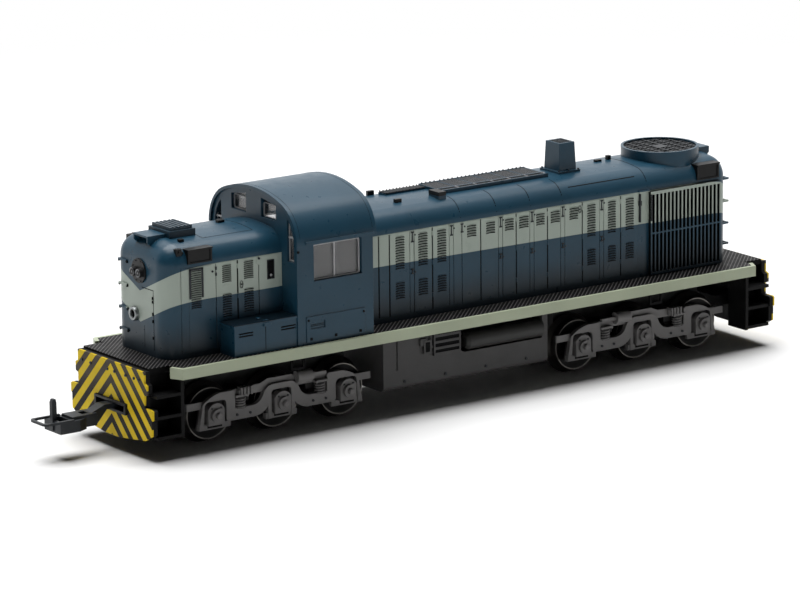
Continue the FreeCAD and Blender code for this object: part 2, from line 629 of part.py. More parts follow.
for side, tag in ((1, "L"), (-1, "R")):
    trim = body("tank_trim" + tag)
    side_pad(trim, [rect("3.0", "13.5", "11.3", "17.6")], side, "tank_half - 1.0", "tank_half + 0.35")
    side_pocket(trim, [rect("3.5", "14.0", "6.9", "17.1"), rect("7.4", "14.0", "10.8", "17.1")], side,
                "tank_half + 0.35", "0.6")
    panels.append(trim)
    panels.append(box("TankHook" + tag, ("12.2", "tank_half - 0.5" if side > 0 else "-tank_half - 0.5", "14.4"),
                      ("1.9", "1.0", "1.6")))
grooves = [box("TankGroove" + tag, ("20.0", y, "9.8"), ("0.4", "1.0", "7.2"))
           for tag, y in (("L", "tank_half - 0.3"), ("R", "-tank_half - 0.7"))]
whole = fuse("tank_whole", [cut("tank_body", block, fuse("tank_tools", [bays] + grooves))] + panels)
finish(whole, "fuel_tank")

for label, side in (("air_reservoir_left", 1), ("air_reservoir_right", -1)):
    vessel = body(label)
    turned(vessel, "XZ_Plane", [
        ("-20.0", "0"), ("1.2", "0"), ("1.2", "reservoir_radius - 0.7"),
        ("0.5", "reservoir_radius"), ("-20.0", "reservoir_radius"),
    ])
    bind(vessel, "Placement.Base.y", "%d * reservoir_side" % side)
    bind(vessel, "Placement.Base.z", "reservoir_height")
    finish(vessel, label)

# ---------------------------------------------------------------- coupler and its pockets
for label, way in (("coupler_pocket_front", 1), ("coupler_pocket_rear", -1)):
    start = "76.5" if way > 0 else "-pocket_end"
    shell = box(label + "Shell", (start, "-pocket_half", "coupler_height - 1.2"),
                ("pocket_end - 76.5", "2 * pocket_half", "2.4"))
    mouth = "77.5" if way > 0 else "-90"
    hollow = box(label + "Hollow", (mouth, "-pocket_half + 0.6", "coupler_height - 0.7"),
                 ("12.5", "2 * pocket_half - 1.2", "1.4"))
    post = rod(label + "Post", ("%d * coupler_pivot" % way, "0", "coupler_height - 1.0"), "1.0", "2.0", (0, 0, 1))
    finish(fuse(label, [cut(label + "Cut", shell, hollow), post]), label)

# coupler: eye, neck that drops to a deep body, horseshoe head with a well, hook post and loop
eye = body("coupler_eye")
eye_loop = [("coupler_pivot", "-2.1"), ("coupler_pivot + 3", "-shank_half"), ("coupler_pivot + 5", "-shank_half"),
            ("coupler_pivot + 5", "shank_half"), ("coupler_pivot + 3", "shank_half"), ("coupler_pivot", "2.1", "2.3")]
pad(eye, sketch(eye, "XY_Plane", [eye_loop], "coupler_height - bar_half"), "2 * bar_half")
neck = body("coupler_neck")
side_pad(neck, [[
    ("coupler_pivot + 4", "coupler_height - bar_half"), ("88.0", "coupler_height - bar_half"),
    ("90.6", "6.6"), ("91.8", "6.6"), ("91.8", "9.1"), ("88.6", "coupler_height + bar_half"),
    ("coupler_pivot + 4", "coupler_height + bar_half"),
]], 1, "-shank_half", "shank_half")
trunk = body("coupler_trunk")
side_pad(trunk, [rect("91.0", "6.4", "97.2", "9.1")], 1, "-2.2", "2.2")
pocket(trunk, sketch(trunk, "XY_Plane", [rect("92.4", "-1.0", "94.0", "1.0")], "9.2"), "1.6")
head = body("coupler_head")
cheek = [("post_place - 7.0", "-2.2"), ("post_place - 4.8", "-head_half"), ("post_place + 0.2", "-head_half")]
head_loop = cheek + [(x, y.replace("-", "")) for x, y in reversed(cheek)]
pad(head, sketch(head, "XY_Plane", [head_loop], "6.0"), "2.5")
pocket(head, sketch(head, "XY_Plane", [rect("post_place - 3.0", "-head_half + 0.9", "post_place - 0.7",
                                            "head_half - 0.9")], "8.5"), "1.9")
hook = body("coupler_hook")
side_pad(hook, [[
    ("post_place - 0.7", "6.4"), ("post_place + 0.5", "6.4"), ("post_place + 0.5", "12.6"),
    ("post_place + 0.2", "13.3"), ("post_place - 0.4", "13.3"), ("post_place - 0.6", "12.6"),
]], 1, "-0.55", "0.55")
bow = body("coupler_bow")
half = [("post_place - 3.4", "-head_half"), ("loop_end - 1.2", "-head_half", "1.2"), ("loop_end", "-head_half + 1.2")]
inner = [("loop_end - 0.6", "-head_half + 1.2"), ("loop_end - 1.2", "-head_half + 0.6"),
         ("post_place - 3.4", "-head_half + 0.6")]
bow_loop = half + [
    ("loop_end", "head_half - 1.2", "1.2"), ("loop_end - 1.2", "head_half"), ("post_place - 3.4", "head_half"),
    ("post_place - 3.4", "head_half - 0.6"), ("loop_end - 1.2", "head_half - 0.6"),
    ("loop_end - 0.6", "head_half - 1.2"),
] + inner
pad(bow, sketch(bow, "XY_Plane", [bow_loop], "8.35"), "0.5")
eye_bore = rod("EyeBore", ("coupler_pivot", "0", "coupler_height - 3"), "1.05", "6", (0, 0, 1))
finish(cut("coupler_front", fuse("coupler_solid", [eye, neck, trunk, head, hook, bow]), eye_bore), "coupler_front")

# ---------------------------------------------------------------- trucks
TRUCKS = (("front", "truck_place", 1), ("rear", "-truck_place", -1))
# upper and lower edges of the waved side beam, right half, from the centre outwards and back
WAVE = [
    ("2.0", "11.5", "-2.9"), ("4.72", "9.61", "3.07"), ("7.6", "7.6"), ("12.1", "7.6"), ("12.1", "11.1", "-0.6"),
    ("12.7", "11.7"), ("15.9", "11.7", "-9.0"), ("20.5", "9.6"), ("21.5", "4.0"),
    ("20.3", "4.0"), ("20.0", "9.0", "1.0"), ("19.0", "10.0"), ("15.4", "10.0", "1.0"), ("14.4", "9.0"),
    ("14.4", "5.7", "-0.7"), ("13.7", "5.0"), ("7.1", "5.0", "-4.5"), ("2.6", "9.5", "0.7"), ("1.9", "10.2"),
]


def wave_outline():
    """Closed outline of the beam: the half drawn above and its mirror image."""
    left = []
    for place in range(len(WAVE) - 1, -1, -1):
        x, z = WAVE[place][:2]
        # the arc that ends at this corner on the right starts at its mirror image on the left
        before = WAVE[place - 1] if place else ()
        left.append(("-" + x, z) + ((before[2],) if len(before) == 3 else ()))
    return WAVE + left


def side_frame(end, centre, outward, label, side):
    """One truck side: waved beam, top chord, pedestals, axle boxes, springs and brake gear."""
    frame = body(label + "_frame")
    bind(frame, "Placement.Base.x", centre)
    side_pad(frame, [wave_outline()], side, "side_in", "beam_out")
    chord = [("13.2", "11.6"), ("13.2", "10.0"), ("-13.2", "10.0"), ("-13.2", "11.6"), ("-5.0", "11.9"),
             ("-3.2", "12.7"), ("3.2", "12.7"), ("5.0", "11.9")]
    side_pad(frame, [chord], side, "side_in", "side_in + 0.9")
    boxes, webs, ties, arms = [], [], [], []
    for axle in (-1, 0, 1):
        u = "%d * axle_pitch" % axle
        webs.append(rect(u + " - 2.9", "4.6", u + " + 2.9", "10.2"))
        boxes.append([(u + " - 2.1", "4.8"), (u + " + 2.1", "4.8"), (u + " + 2.1", "8.3", "2.3"),
                      (u + " - 2.1", "8.3")])
        ties.append(rect(u + " - 4.1", "3.8", u + " + 4.1", "5.1"))
        ties.append(rect(u + " - 1.6", "4.2", u + " + 1.6", "4.6"))
    side_pad(frame, webs, side, "side_in", "side_in + 0.4")
    side_pad(frame, boxes, side, "side_in + 0.2", "box_face")
    side_pad(frame, ties, side, "side_in + 0.3", "beam_out - 0.2")
    guides = [rect("-3.5", "3.8", "-2.6", "9.6"), rect("2.6", "3.8", "3.5", "9.6")]
    side_pad(frame, guides, side, "side_in", "beam_out")
    bars = [rect("20.0", "8.5", "24.2", "10.1"), rect("-24.2", "8.5", "-20.0", "10.1")]
    side_pad(frame, bars, side, "side_in", "side_in + 1.0")
    side_pad(frame, [rect("8.9", "9.9", "12.2", "10.5"), rect("-12.2", "9.9", "-8.9", "10.5")], side,
             "side_in", "beam_out + 0.5")
    # ribbed bracket over the spring nearer to the model's end
    a, b = ("7.8", "11.2") if outward > 0 else ("-11.2", "-7.8")
    side_pad(frame, [rect(a, "10.3", b, "11.6")], side, "side_in", "beam_out + 0.2")
    ribs = [rect("%s + %s" % (a, step), "10.3", "%s + %s + 0.35" % (a, step), "12.1") for step in (0.2, 1.1, 2.0, 2.8)]
    side_pad(frame, ribs, side, "side_in", "beam_out + 0.7")
    pieces = [frame]
    out = (0, side, 0)
    for axle in (-1, 0, 1):
        u = "%s + %d * axle_pitch" % (centre, axle)
        pieces.append(rod("%sCover%d" % (label, axle), (u, "%d * (box_face - 0.3)" % side, "7.0"), "1.5",
                          "cover_face - box_face", out))
        pieces.append(rod("%sBoss%d" % (label, axle), (u, "%d * (cover_face - 0.3)" % side, "7.0"), "0.7",
                          "0.6", out))
    for place, u in enumerate((-10.5, 10.5)):
        pieces.append(rod("%sSpring%d" % (label, place), ("%s + %s" % (centre, u), "%d * 11.8" % side, "7.4"), "1.1",
                          "2.6", (0, 0, 1)))
    # brake cylinder between the middle axle and the spring nearer to the tank, with its push rod
    way = -outward
    y = "%d * (side_in + 1.5)" % side
    pieces.append(rod(label + "Cylinder", ("%s + %d * 3.9" % (centre, way), y, "12.0"), "1.35", "4.0", (way, 0, 0)))
    start = "%s + 7.8" % centre if way > 0 else "%s - 11.8" % centre
    across = "side_in + 1.1" if side > 0 else "-side_in - 1.9"
    pieces.append(box(label + "Push", (start, across, "11.6"), ("4.0", "0.8", "0.8")))
    finish(fuse(label, pieces), label)


for end, x, outward in TRUCKS:
    gear = box("Gear" + end, (x + " - gear_long", "-gear_half", "gear_low"),
               ("2 * gear_long", "2 * gear_half", "gear_top - gear_low"))
    pieces = [gear, rod("Pin" + end, (x, "0", "gear_top - 1"), "pin_radius", "3.4", (0, 0, 1))]
    for place, offset in (("A", "axle_pitch / 2"), ("B", "-axle_pitch / 2")):
        pieces.append(box("Transom" + end + place, (x + " + " + offset + " - 1.2", "-side_in", "8.4"),
                          ("2.4", "2 * side_in", "3.0")))
    holes = [rod("Hole%s%d" % (end, axle), (x + " + %d * axle_pitch" % axle, "-10", "axle_height"),
                 "axle_radius + bore_gap", "20", (0, 1, 0)) for axle in (-1, 0, 1)]
    finish(cut("truck_" + end, fuse("truck_solid_" + end, pieces), fuse("truck_holes_" + end, holes)),
           "truck_" + end)
    for word, side in (("left", 1), ("right", -1)):
        side_frame(end, x, outward, "side_frame_%s_%s" % (end, word), side)

AXLES = [("wheelset_1", 1, 1), ("wheelset_2", 1, 0), ("wheelset_3", 1, -1),
         ("wheelset_4", -1, 1), ("wheelset_5", -1, 0), ("wheelset_6", -1, -1)]
for label, truck, axle in AXLES:
    wheels = body(label)
    rim = "(back_half + wheel_width)"
    # back face, tapered flange, tread and dished outer face
    right = [("back_half", "axle_radius"), ("back_half", "flange_radius"), ("back_half + flange_width", "tread_radius"),
             (rim, "tread_radius - 0.1"), (rim + " - wheel_dish", "0")]
    left = [("-(%s)" % y, r) for y, r in reversed(right)]
    turned(wheels, "YZ_Plane", left + right)
    spots[wheels.Name] = "%d * truck_place + %d * axle_pitch" % (truck, axle)
    bind(wheels, "Placement.Base.z", "axle_height")
    finish(wheels, label)

# ---------------------------------------------------------------- checks and files
doc.recompute()
for thing in doc.Objects:
    if "Invalid" in thing.State or "Error" in thing.State:
        raise ValueError("%s (%s) did not build" % (thing.Name, thing.Label))
for thing in parts:
    if thing.Shape.isNull() or not thing.Shape.isValid():
        raise ValueError("%s has no valid shape" % thing.Label)
    if len(thing.Shape.Solids) != 1:
        raise ValueError("%s has %d solids" % (thing.Label, len(thing.Shape.Solids)))
os.makedirs("parts", exist_ok=True)
for thing in parts:
    thing.Shape.exportStep(os.path.join("parts", thing.Label + ".step"))
print(len(parts), "parts")
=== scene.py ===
"""Looks of the 1:87 road-switcher locomotive model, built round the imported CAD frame."""
import bpy
import math
from mathutils import Matrix, Vector


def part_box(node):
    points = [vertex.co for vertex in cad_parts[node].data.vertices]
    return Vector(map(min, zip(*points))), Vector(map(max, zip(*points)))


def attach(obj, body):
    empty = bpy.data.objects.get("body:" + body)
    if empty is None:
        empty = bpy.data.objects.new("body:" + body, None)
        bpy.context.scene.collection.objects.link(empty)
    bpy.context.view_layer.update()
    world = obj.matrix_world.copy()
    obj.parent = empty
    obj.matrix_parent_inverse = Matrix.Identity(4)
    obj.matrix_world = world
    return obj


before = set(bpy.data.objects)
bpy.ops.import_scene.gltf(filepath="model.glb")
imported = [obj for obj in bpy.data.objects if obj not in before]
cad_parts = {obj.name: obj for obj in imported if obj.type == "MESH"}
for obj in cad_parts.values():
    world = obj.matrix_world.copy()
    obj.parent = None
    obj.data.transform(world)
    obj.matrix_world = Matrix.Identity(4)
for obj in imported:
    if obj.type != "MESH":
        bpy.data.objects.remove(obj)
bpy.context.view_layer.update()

scene = bpy.context.scene
MM = 0.001


def middle(node):
    """Middle of a CAD node's box."""
    low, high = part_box(node)
    return (low + high) / 2


# x is given in millimetres from the midpoint between the trucks, y from the centre plane and z
# from the floor; the frame's own x differs by X0
X0 = (middle("truck_front").x + middle("truck_rear").x) / 2 / MM
SIDES = (1, -1)


def span(node):
    """Low and high end of a CAD node's box on each axis, in the script's units."""
    return [(low / MM - shift, high / MM - shift) for low, high, shift in zip(*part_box(node), (X0, 0, 0))]


def place(x, y, z):
    """Point of the frame in metres."""
    return Vector(((x + X0) * MM, y * MM, z * MM))


AXLE_HEIGHT = middle("wheelset_1").z / MM
AXLE_PITCH = (middle("wheelset_1").x - middle("wheelset_2").x) / MM
TRUCK = middle("truck_front").x / MM - X0
# springs of the trucks: distance from the truck's middle and from the centre plane, radius of the
# coil's middle line, foot and height
SPRING, SPRING_Y, COIL, COIL_FOOT, COIL_HEIGHT = 10.5, 11.8, 1.12, 7.55, 2.3
# flat end walls of the hoods, and the lamp plates on them
FRONT_WALL, FRONT_LAMP = span("headlight_front")[0]
REAR_LAMP, REAR_WALL = span("headlight_rear")[0]
WALLS = ((1, FRONT_WALL), (-1, REAR_WALL))
PILOT_FACE = span("pilot_front")[0][1]


# ------------------------------------------------------------------------------ paint and markings
TEAL = (0.0095, 0.046, 0.078)
BAND = (0.39, 0.45, 0.395)
BLACK = (0.0095, 0.0098, 0.0105)
SHADOW = (0.006, 0.006, 0.006)
# radius of softened edges in metres
SOFT_EDGE = 0.00012
# the pale band: its edges on the sides; its lower edge on the long hood climbs towards the cab, and
# is given where x is 0
BAND_TOP, BAND_FOOT, BAND_FOOT_CAB = 40.0, 32.5, 33.0
BAND_FOOT_MIDDLE, BAND_CLIMB = 32.83, 0.00625
# the V on the end walls: its edges on the centre plane, its slope, how gently it meets the straight
# edges, and how much the way back along the side counts
V_TOP, V_FOOT, V_SLOPE, V_BEND, V_BACK = 33.8, 26.9, 0.45, 2.5, 0.6
# where the two ends' bands meet, out of sight under the cab
UNDER_CAB = 38.0
# chevrons of the pilots, measured straight up, and the yellow share of them
CHEVRON_START, CHEVRON_PITCH, CHEVRON_SHARE = 16.6, 4.4, 0.525
# ribs of the deck, measured along it, and the share that they take
RIB_PITCH, RIB_SHARE = 1.13, 0.26
# radius of a wheel's dished centre
DISH = 5.5


# ------------------------------------------------------------------------------ materials
class Tree:
    """Short ways to add nodes to a node tree."""

    def __init__(self, tree):
        self.tree = tree
        tree.nodes.clear()

    def link(self, value, socket):
        """Join an output to a socket, or set a plain value on it."""
        if isinstance(value, bpy.types.NodeSocket):
            self.tree.links.new(value, socket)
        else:
            socket.default_value = value

    def add(self, kind, *values):
        """New node whose first sockets take the values."""
        node = self.tree.nodes.new("ShaderNode" + kind)
        for value, socket in zip(values, node.inputs):
            self.link(value, socket)
        return node

    def math(self, work, *values):
        """Result of one sum."""
        node = self.add("Math", *values)
        node.operation = work
        return node.outputs[0]

    def ramp(self, value, start, end, low=0.0, high=1.0, kind="LINEAR"):
        """Low up to the start and high from the end on."""
        node = self.add("MapRange", value, start, end, low, high)
        node.interpolation_type = kind
        return node.outputs[0]

    def mix(self, share, a, b):
        """Colour a where the share is 0 and colour b where it is 1."""
        node = self.add("Mix")
        node.data_type = "RGBA"
        for value, socket in ((share, node.inputs[0]), (a, node.inputs[6]), (b, node.inputs[7])):
            self.link((*value, 1.0) if isinstance(value, tuple) else value, socket)
        return node.outputs[2]

    def rays(self, *kinds):
        """1 for rays of the kinds that are named."""
        path = self.add("LightPath")
        share = 0.0
        for kind in kinds:
            share = self.math("MAXIMUM", share, path.outputs["Is %s Ray" % kind])
        return share

    def blend(self, share, first, second, target):
        """Send the first shader out where the share is 0 and the second where it is 1."""
        both = self.add("MixShader", share, first.outputs[0], second.outputs[0])
        self.link(both.outputs[0], target.inputs[0])


class Shade(Tree):
    """Node material with one Principled shader."""

    def __init__(self, name):
        self.mat = bpy.data.materials.new(name)
        self.mat.use_nodes = True
        super().__init__(self.mat.node_tree)
        self.out = self.add("OutputMaterial")
        self.bsdf = self.add("BsdfPrincipled")
        self.link(self.bsdf.outputs[0], self.out.inputs[0])
        self.spot = self.add("TexCoord").outputs["Object"]

    def xyz(self):
        """x from the midpoint of the trucks, y and z, all in millimetres."""
        x, y, z = (self.math("MULTIPLY", part, 1 / MM) for part in self.add("SeparateXYZ", self.spot).outputs)
        return self.math("SUBTRACT", x, X0), y, z

    def above(self, value, edge, soft=0.04):
        """0 below the edge and 1 above it, with a short ramp."""
        return self.ramp(self.math("SUBTRACT", value, edge), -soft, soft, kind="SMOOTHSTEP")

    def noise(self, scale, detail=3.0, rough=0.5, stretch=None):
        """Noise over the place in metres."""
        node = self.add("TexNoise")
        node.inputs["Scale"].default_value = scale
        node.inputs["Detail"].default_value = detail
        node.inputs["Roughness"].default_value = rough
        source = self.spot
        if stretch:
            scaled = self.add("Mapping", self.spot)
            scaled.inputs["Scale"].default_value = stretch
            source = scaled.outputs[0]
        self.link(source, node.inputs["Vector"])
        return node.outputs[0]

    def spread(self, value, low, high):
        """Map the middle of a noise, 0.3 to 0.7, to low..high."""
        return self.ramp(value, 0.3, 0.7, low, high)

    def bump(self, height, distance, strength=1.0, edge=SOFT_EDGE):
        """Bump over softened edges; both lengths are in metres."""
        node = self.add("Bump")
        node.inputs["Strength"].default_value = strength
        node.inputs["Distance"].default_value = distance
        self.link(height, node.inputs["Height"])
        if edge:
            round_off = self.add("Bevel", edge)
            round_off.samples = 4
            self.link(round_off.outputs[0], node.inputs["Normal"])
        self.link(node.outputs[0], self.bsdf.inputs["Normal"])

    def colour(self, value):
        self.link(value, self.bsdf.inputs["Base Color"])

    def paint(self):
        """The colour so far."""
        return self.bsdf.inputs["Base Color"].links[0].from_socket

    def set(self, **sockets):
        """Values for the shader's sockets, with _ for each space in their names."""
        for name, value in sockets.items():
            self.link(value, self.bsdf.inputs[name.replace("_", " ")])


def plastic(name, base, dust=1.5, rough=(0.27, 0.37), grain=2600.0, depth=0.000012, specular=0.3):
    """Painted or self-coloured moulding: fine grain, faint cloudiness and dust that lies on top."""
    made = Shade(name)
    cloud = made.noise(70.0, 4.0)
    shaded = made.mix(made.spread(cloud, 0.0, 1.0), tuple(value * 0.9 for value in base),
                      tuple(value * 1.1 for value in base))
    fine = made.noise(900.0, 5.0, 0.7)
    shaded = made.mix(made.spread(fine, 0.04, 0.15), shaded, tuple(value * dust + 0.004 for value in base))
    made.colour(shaded)
    made.set(Roughness=made.spread(made.noise(420.0, 4.0), *rough), Specular_IOR_Level=specular)
    made.bump(made.noise(grain, 3.0), depth, 0.5)
    return made


def teal_plastic(name):
    """The body's paint, smoother than the bare mouldings."""
    return plastic(name, TEAL, grain=3200.0, depth=0.000008)


def livery(name, recess=None):
    """Teal paint with the pale band that drops to a V on both ends, and painted shade: the foot of the doors
    is darker, and where a depth is given, everything deeper is black.
    """
    made = teal_plastic(name)
    x, y, z = made.xyz()
    wide = made.math("ABSOLUTE", y)
    mask = 0.0
    for sign, wall in WALLS:
        inward = made.math("MULTIPLY", made.math("SUBTRACT", wall, x), float(sign))
        # the V runs on round the corner; the way back along the side counts less than the way across
        path = made.math("ADD", wide, made.math("MULTIPLY", inward, V_BACK))
        rise = made.math("MULTIPLY", path, V_SLOPE)
        top = made.math("SMOOTH_MIN", made.math("ADD", rise, V_TOP), BAND_TOP, V_BEND)
        low_side = BAND_FOOT
        if sign < 0:
            climb = made.math("ADD", made.math("MULTIPLY", x, BAND_CLIMB), BAND_FOOT_MIDDLE)
            low_side = made.math("MINIMUM", climb, BAND_FOOT_CAB)
        low = made.math("SMOOTH_MIN", made.math("ADD", rise, V_FOOT), low_side, V_BEND)
        inside = made.math("MULTIPLY", made.above(z, low, 0.05), made.above(top, z, 0.05))
        half = made.above(made.math("MULTIPLY", made.math("SUBTRACT", x, UNDER_CAB), float(sign)), 0.0, 0.01)
        mask = made.math("ADD", mask, made.math("MULTIPLY", inside, half))
    cloud = made.spread(made.noise(90.0, 4.0), 0.0, 1.0)
    pale = made.mix(cloud, tuple(v * 0.96 for v in BAND), tuple(v * 1.04 for v in BAND))
    # painted shade: the foot of the doors is darker, as shade falls there near the deck
    foot = made.math("ADD", z, made.math("MULTIPLY", made.noise(240.0, 4.0), 1.5))
    painted_foot_shade = made.mix(made.above(foot, 26.0, 4.5), (0.004, 0.017, 0.029), made.paint())
    painted = made.mix(mask, painted_foot_shade, pale)
    # painted shade: faces deeper than the given depth, in the slots of the shutters, are black
    if recess:
        painted = made.mix(made.above(wide, recess, 0.03), (0.003, 0.0034, 0.004), painted)
    made.colour(painted)
    return made.mat


def battery(name):
    """Teal box whose top is painted nearly black as shade."""
    made = teal_plastic(name)
    x, y, z = made.xyz()
    crown = span("battery_box_left")[2][1] - 0.08
    # painted shade: the top is nearly black
    made.colour(made.mix(made.above(z, crown, 0.05), made.paint(), (0.0035, 0.010, 0.016)))
    return made.mat


def stripes(name):
    """Black moulding whose outer face carries yellow chevrons that point up; its other faces are painted near
    black as shade.
    """
    made = plastic(name, BLACK, rough=(0.45, 0.6), specular=0.12)
    x, y, z = made.xyz()
    wide = made.math("ABSOLUTE", y)
    shifted = made.math("SUBTRACT", made.math("ADD", z, wide), CHEVRON_START)
    phase = made.math("FRACT", made.math("DIVIDE", shifted, CHEVRON_PITCH))
    bar = made.math("MULTIPLY", made.above(phase, 0.0, 0.012), made.above(CHEVRON_SHARE, phase, 0.012))
    outer = made.above(made.math("ABSOLUTE", x), PILOT_FACE - 0.4, 0.05)
    wear = made.spread(made.noise(320.0, 5.0, 0.6), 0.0, 1.0)
    yellow = made.mix(wear, (0.70, 0.50, 0.012), (0.80, 0.58, 0.020))
    # the dark bars are browner on the upper half
    dark = made.mix(made.above(z, 13.0, 3.0), (0.010, 0.008, 0.008), (0.062, 0.052, 0.038))
    # painted shade: every face but the outer one is darker than the black moulding, as in the shaded step
    # wells
    made.colour(made.mix(outer, (0.0035, 0.0035, 0.0037), made.mix(bar, dark, yellow)))
    return made.mat


def tread_plate(name):
    """Black deck; its top carries one set of slanting raised ribs, whose tops are painted pale as a
    highlight.
    """
    made = plastic(name, (0.0025, 0.0025, 0.0028), rough=(0.42, 0.56), specular=0.06)
    x, y, z = made.xyz()
    across = made.math("DIVIDE", made.math("SUBTRACT", x, y), RIB_PITCH)
    wave = made.math("ABSOLUTE", made.math("SUBTRACT", made.math("FRACT", across), 0.5))
    deck = span("walkway")[2][1] - 0.1
    rib = made.math("MULTIPLY", made.above(RIB_SHARE / 2, wave, 0.05), made.above(z, deck, 0.03))
    # the ribs take the place of the plain grain
    height = made.math("ADD", rib, made.math("MULTIPLY", made.noise(2600.0, 3.0), 0.1))
    made.bump(height, 0.00014, 1.0, 0)
    # painted highlight: the ribs' tops are pale, where light catches them
    made.colour(made.mix(rib, made.paint(), (0.125, 0.120, 0.120)))
    return made.mat


def glass(name):
    """Clear pane that lets light into the cab."""
    made = Shade(name)
    smear = made.noise(160.0, 3.0)
    made.colour(made.mix(made.spread(smear, 0.0, 1.0), (0.80, 0.80, 0.81), (0.90, 0.90, 0.90)))
    made.set(Roughness=0.06, IOR=1.46, Transmission_Weight=0.93)
    made.bump(smear, 0.00001, 0.25, 0)
    made.blend(made.rays("Shadow"), made.bsdf, made.add("BsdfTransparent"), made.out)
    return made.mat


def turned_metal(name, base, rough):
    """Darkened wheel metal with fine turning lines round the axle."""
    made = Shade(name)
    made.colour(made.mix(made.spread(made.noise(600.0, 4.0), 0, 1), tuple(v * 0.8 for v in base), base))
    made.set(Metallic=0.9, Roughness=made.spread(made.noise(900.0, 3.0), rough, rough + 0.15))
    made.bump(made.noise(1800.0, 2.0, 0.5, (1, 12, 1)), 0.00001, 0.4, 0.0001)
    return made


def wheel_metal(name):
    """Wheel with a dished centre in painted shadow, a tyre painted dark as shade and a bare rim on its outer
    face.
    """
    made = turned_metal(name, (0.20, 0.19, 0.175), 0.34)
    x, y, z = made.xyz()
    tall = made.math("SUBTRACT", z, AXLE_HEIGHT)
    nearest = 100.0
    for number in range(1, 7):
        along = made.math("SUBTRACT", x, middle("wheelset_%d" % number).x / MM - X0)
        square = made.math("ADD", made.math("MULTIPLY", along, along), made.math("MULTIPLY", tall, tall))
        nearest = made.math("MINIMUM", made.math("SQRT", square), nearest)
    rim = span("wheelset_1")[1][1] - 0.15
    # painted shade: the tyre is dark except for the bare rim, and the dished centre is black
    tyre = made.mix(made.above(made.math("ABSOLUTE", y), rim, 0.05), (0.050, 0.047, 0.043), made.paint())
    made.colour(made.mix(made.above(nearest, DISH, 0.05), SHADOW, tyre))
    return made.mat


def with_grime_and_shade(name, base, low, high, springs=()):
    """Moulding that is duller from high down to low; its recesses and its springs' cores are painted black as
    shade.
    """
    made = plastic(name, base, grain=1900.0, depth=0.00002, rough=(0.42, 0.58))
    x, y, z = made.xyz()
    if springs:
        wide = made.math("ABSOLUTE", y)
        # what lies deeper than this is in the frame's own shadow
        lit = made.above(wide, 11.3, 0.05)
        crown = COIL_FOOT + COIL_HEIGHT + 0.2
        heights = made.math("MULTIPLY", made.above(z, COIL_FOOT - 0.2), made.above(crown, z))
        shallow = made.above(SPRING_Y + COIL + 0.03, wide)
        for spring in springs:
            near = made.above(COIL + 0.08, made.math("ABSOLUTE", made.math("SUBTRACT", x, spring)))
            spring_core_shade = made.math("MULTIPLY", made.math("MULTIPLY", near, heights), shallow)
            lit = made.math("MULTIPLY", lit, made.math("SUBTRACT", 1.0, spring_core_shade))
        # painted shade: the deep faces and the springs' cores are black
        made.colour(made.mix(lit, SHADOW, made.paint()))
    foot = made.math("ADD", z, made.math("MULTIPLY", made.noise(260.0, 4.0), 2.0))
    grime = made.ramp(foot, low, high, 0.35, 0.0)
    made.colour(made.mix(grime, made.paint(), tuple(value * 0.75 + 0.004 for value in base)))
    return made.mat


MAT = {
    "livery": livery("livery_paint"),
    # the shutters' paint, with painted shade in their slots
    "shutter": livery("shutter_paint_and_shade", 11.4),
    "teal": teal_plastic("teal_paint").mat,
    "sill": plastic("sill_paint", (0.40, 0.445, 0.32), dust=1.15, rough=(0.40, 0.55)).mat,
    "black": plastic("black_moulding", BLACK, rough=(0.38, 0.55)).mat,
    # near black for joints and holes; in openings and behind slats it is painted shade
    "slot": plastic("shadow_black", (0.003, 0.0032, 0.0036), rough=(0.7, 0.85), specular=0.1).mat,
    # dark hardware; the hood latches carry it as painted shade
    "iron_and_shade": plastic("dark_hardware_and_shade", (0.010, 0.013, 0.017), rough=(0.36, 0.5)).mat,
    "truck": with_grime_and_shade("truck_grey", (0.150, 0.146, 0.144), 3.0, 11.0,
                        [end * TRUCK + way * SPRING for end in SIDES for way in SIDES]),
    "spring": plastic("spring_grey", (0.165, 0.16, 0.158), rough=(0.35, 0.5)).mat,
    "board": plastic("board_black", (0.0055, 0.0055, 0.0058), rough=(0.3, 0.42), specular=0.2).mat,
    "mesh": plastic("mesh_pale", (0.30, 0.29, 0.30), rough=(0.35, 0.5)).mat,
    "ring": turned_metal("ring_steel", (0.30, 0.32, 0.32), 0.3).mat,
    "tank": with_grime_and_shade("tank_grey", (0.045, 0.044, 0.044), 3.0, 12.0),
    "deck": tread_plate("deck_tread"),
    "pilot": stripes("pilot_chevrons"),
    "casting": plastic("black_casting_and_shade", (0.009, 0.009, 0.009), rough=(0.5, 0.7), grain=1500.0,
                       depth=0.00003).mat,
    "wheel": wheel_metal("wheel_metal"),
    "copper": turned_metal("copper_strip", (0.42, 0.20, 0.11), 0.3).mat,
    "motor": turned_metal("motor_metal", (0.35, 0.35, 0.34), 0.4).mat,
    "glass": glass("clear_pane"),
    "frame": plastic("window_frame", (0.40, 0.40, 0.41), rough=(0.25, 0.35)).mat,
    "silver": turned_metal("lamp_silver", (0.20, 0.205, 0.215), 0.28).mat,
    "battery": battery("battery_paint"),
    "reservoir": plastic("reservoir_grey", (0.026, 0.026, 0.025), rough=(0.42, 0.55)).mat,
    "vent": plastic("vent_slate", (0.0075, 0.028, 0.046), dust=1.2, rough=(0.34, 0.46)).mat,
}

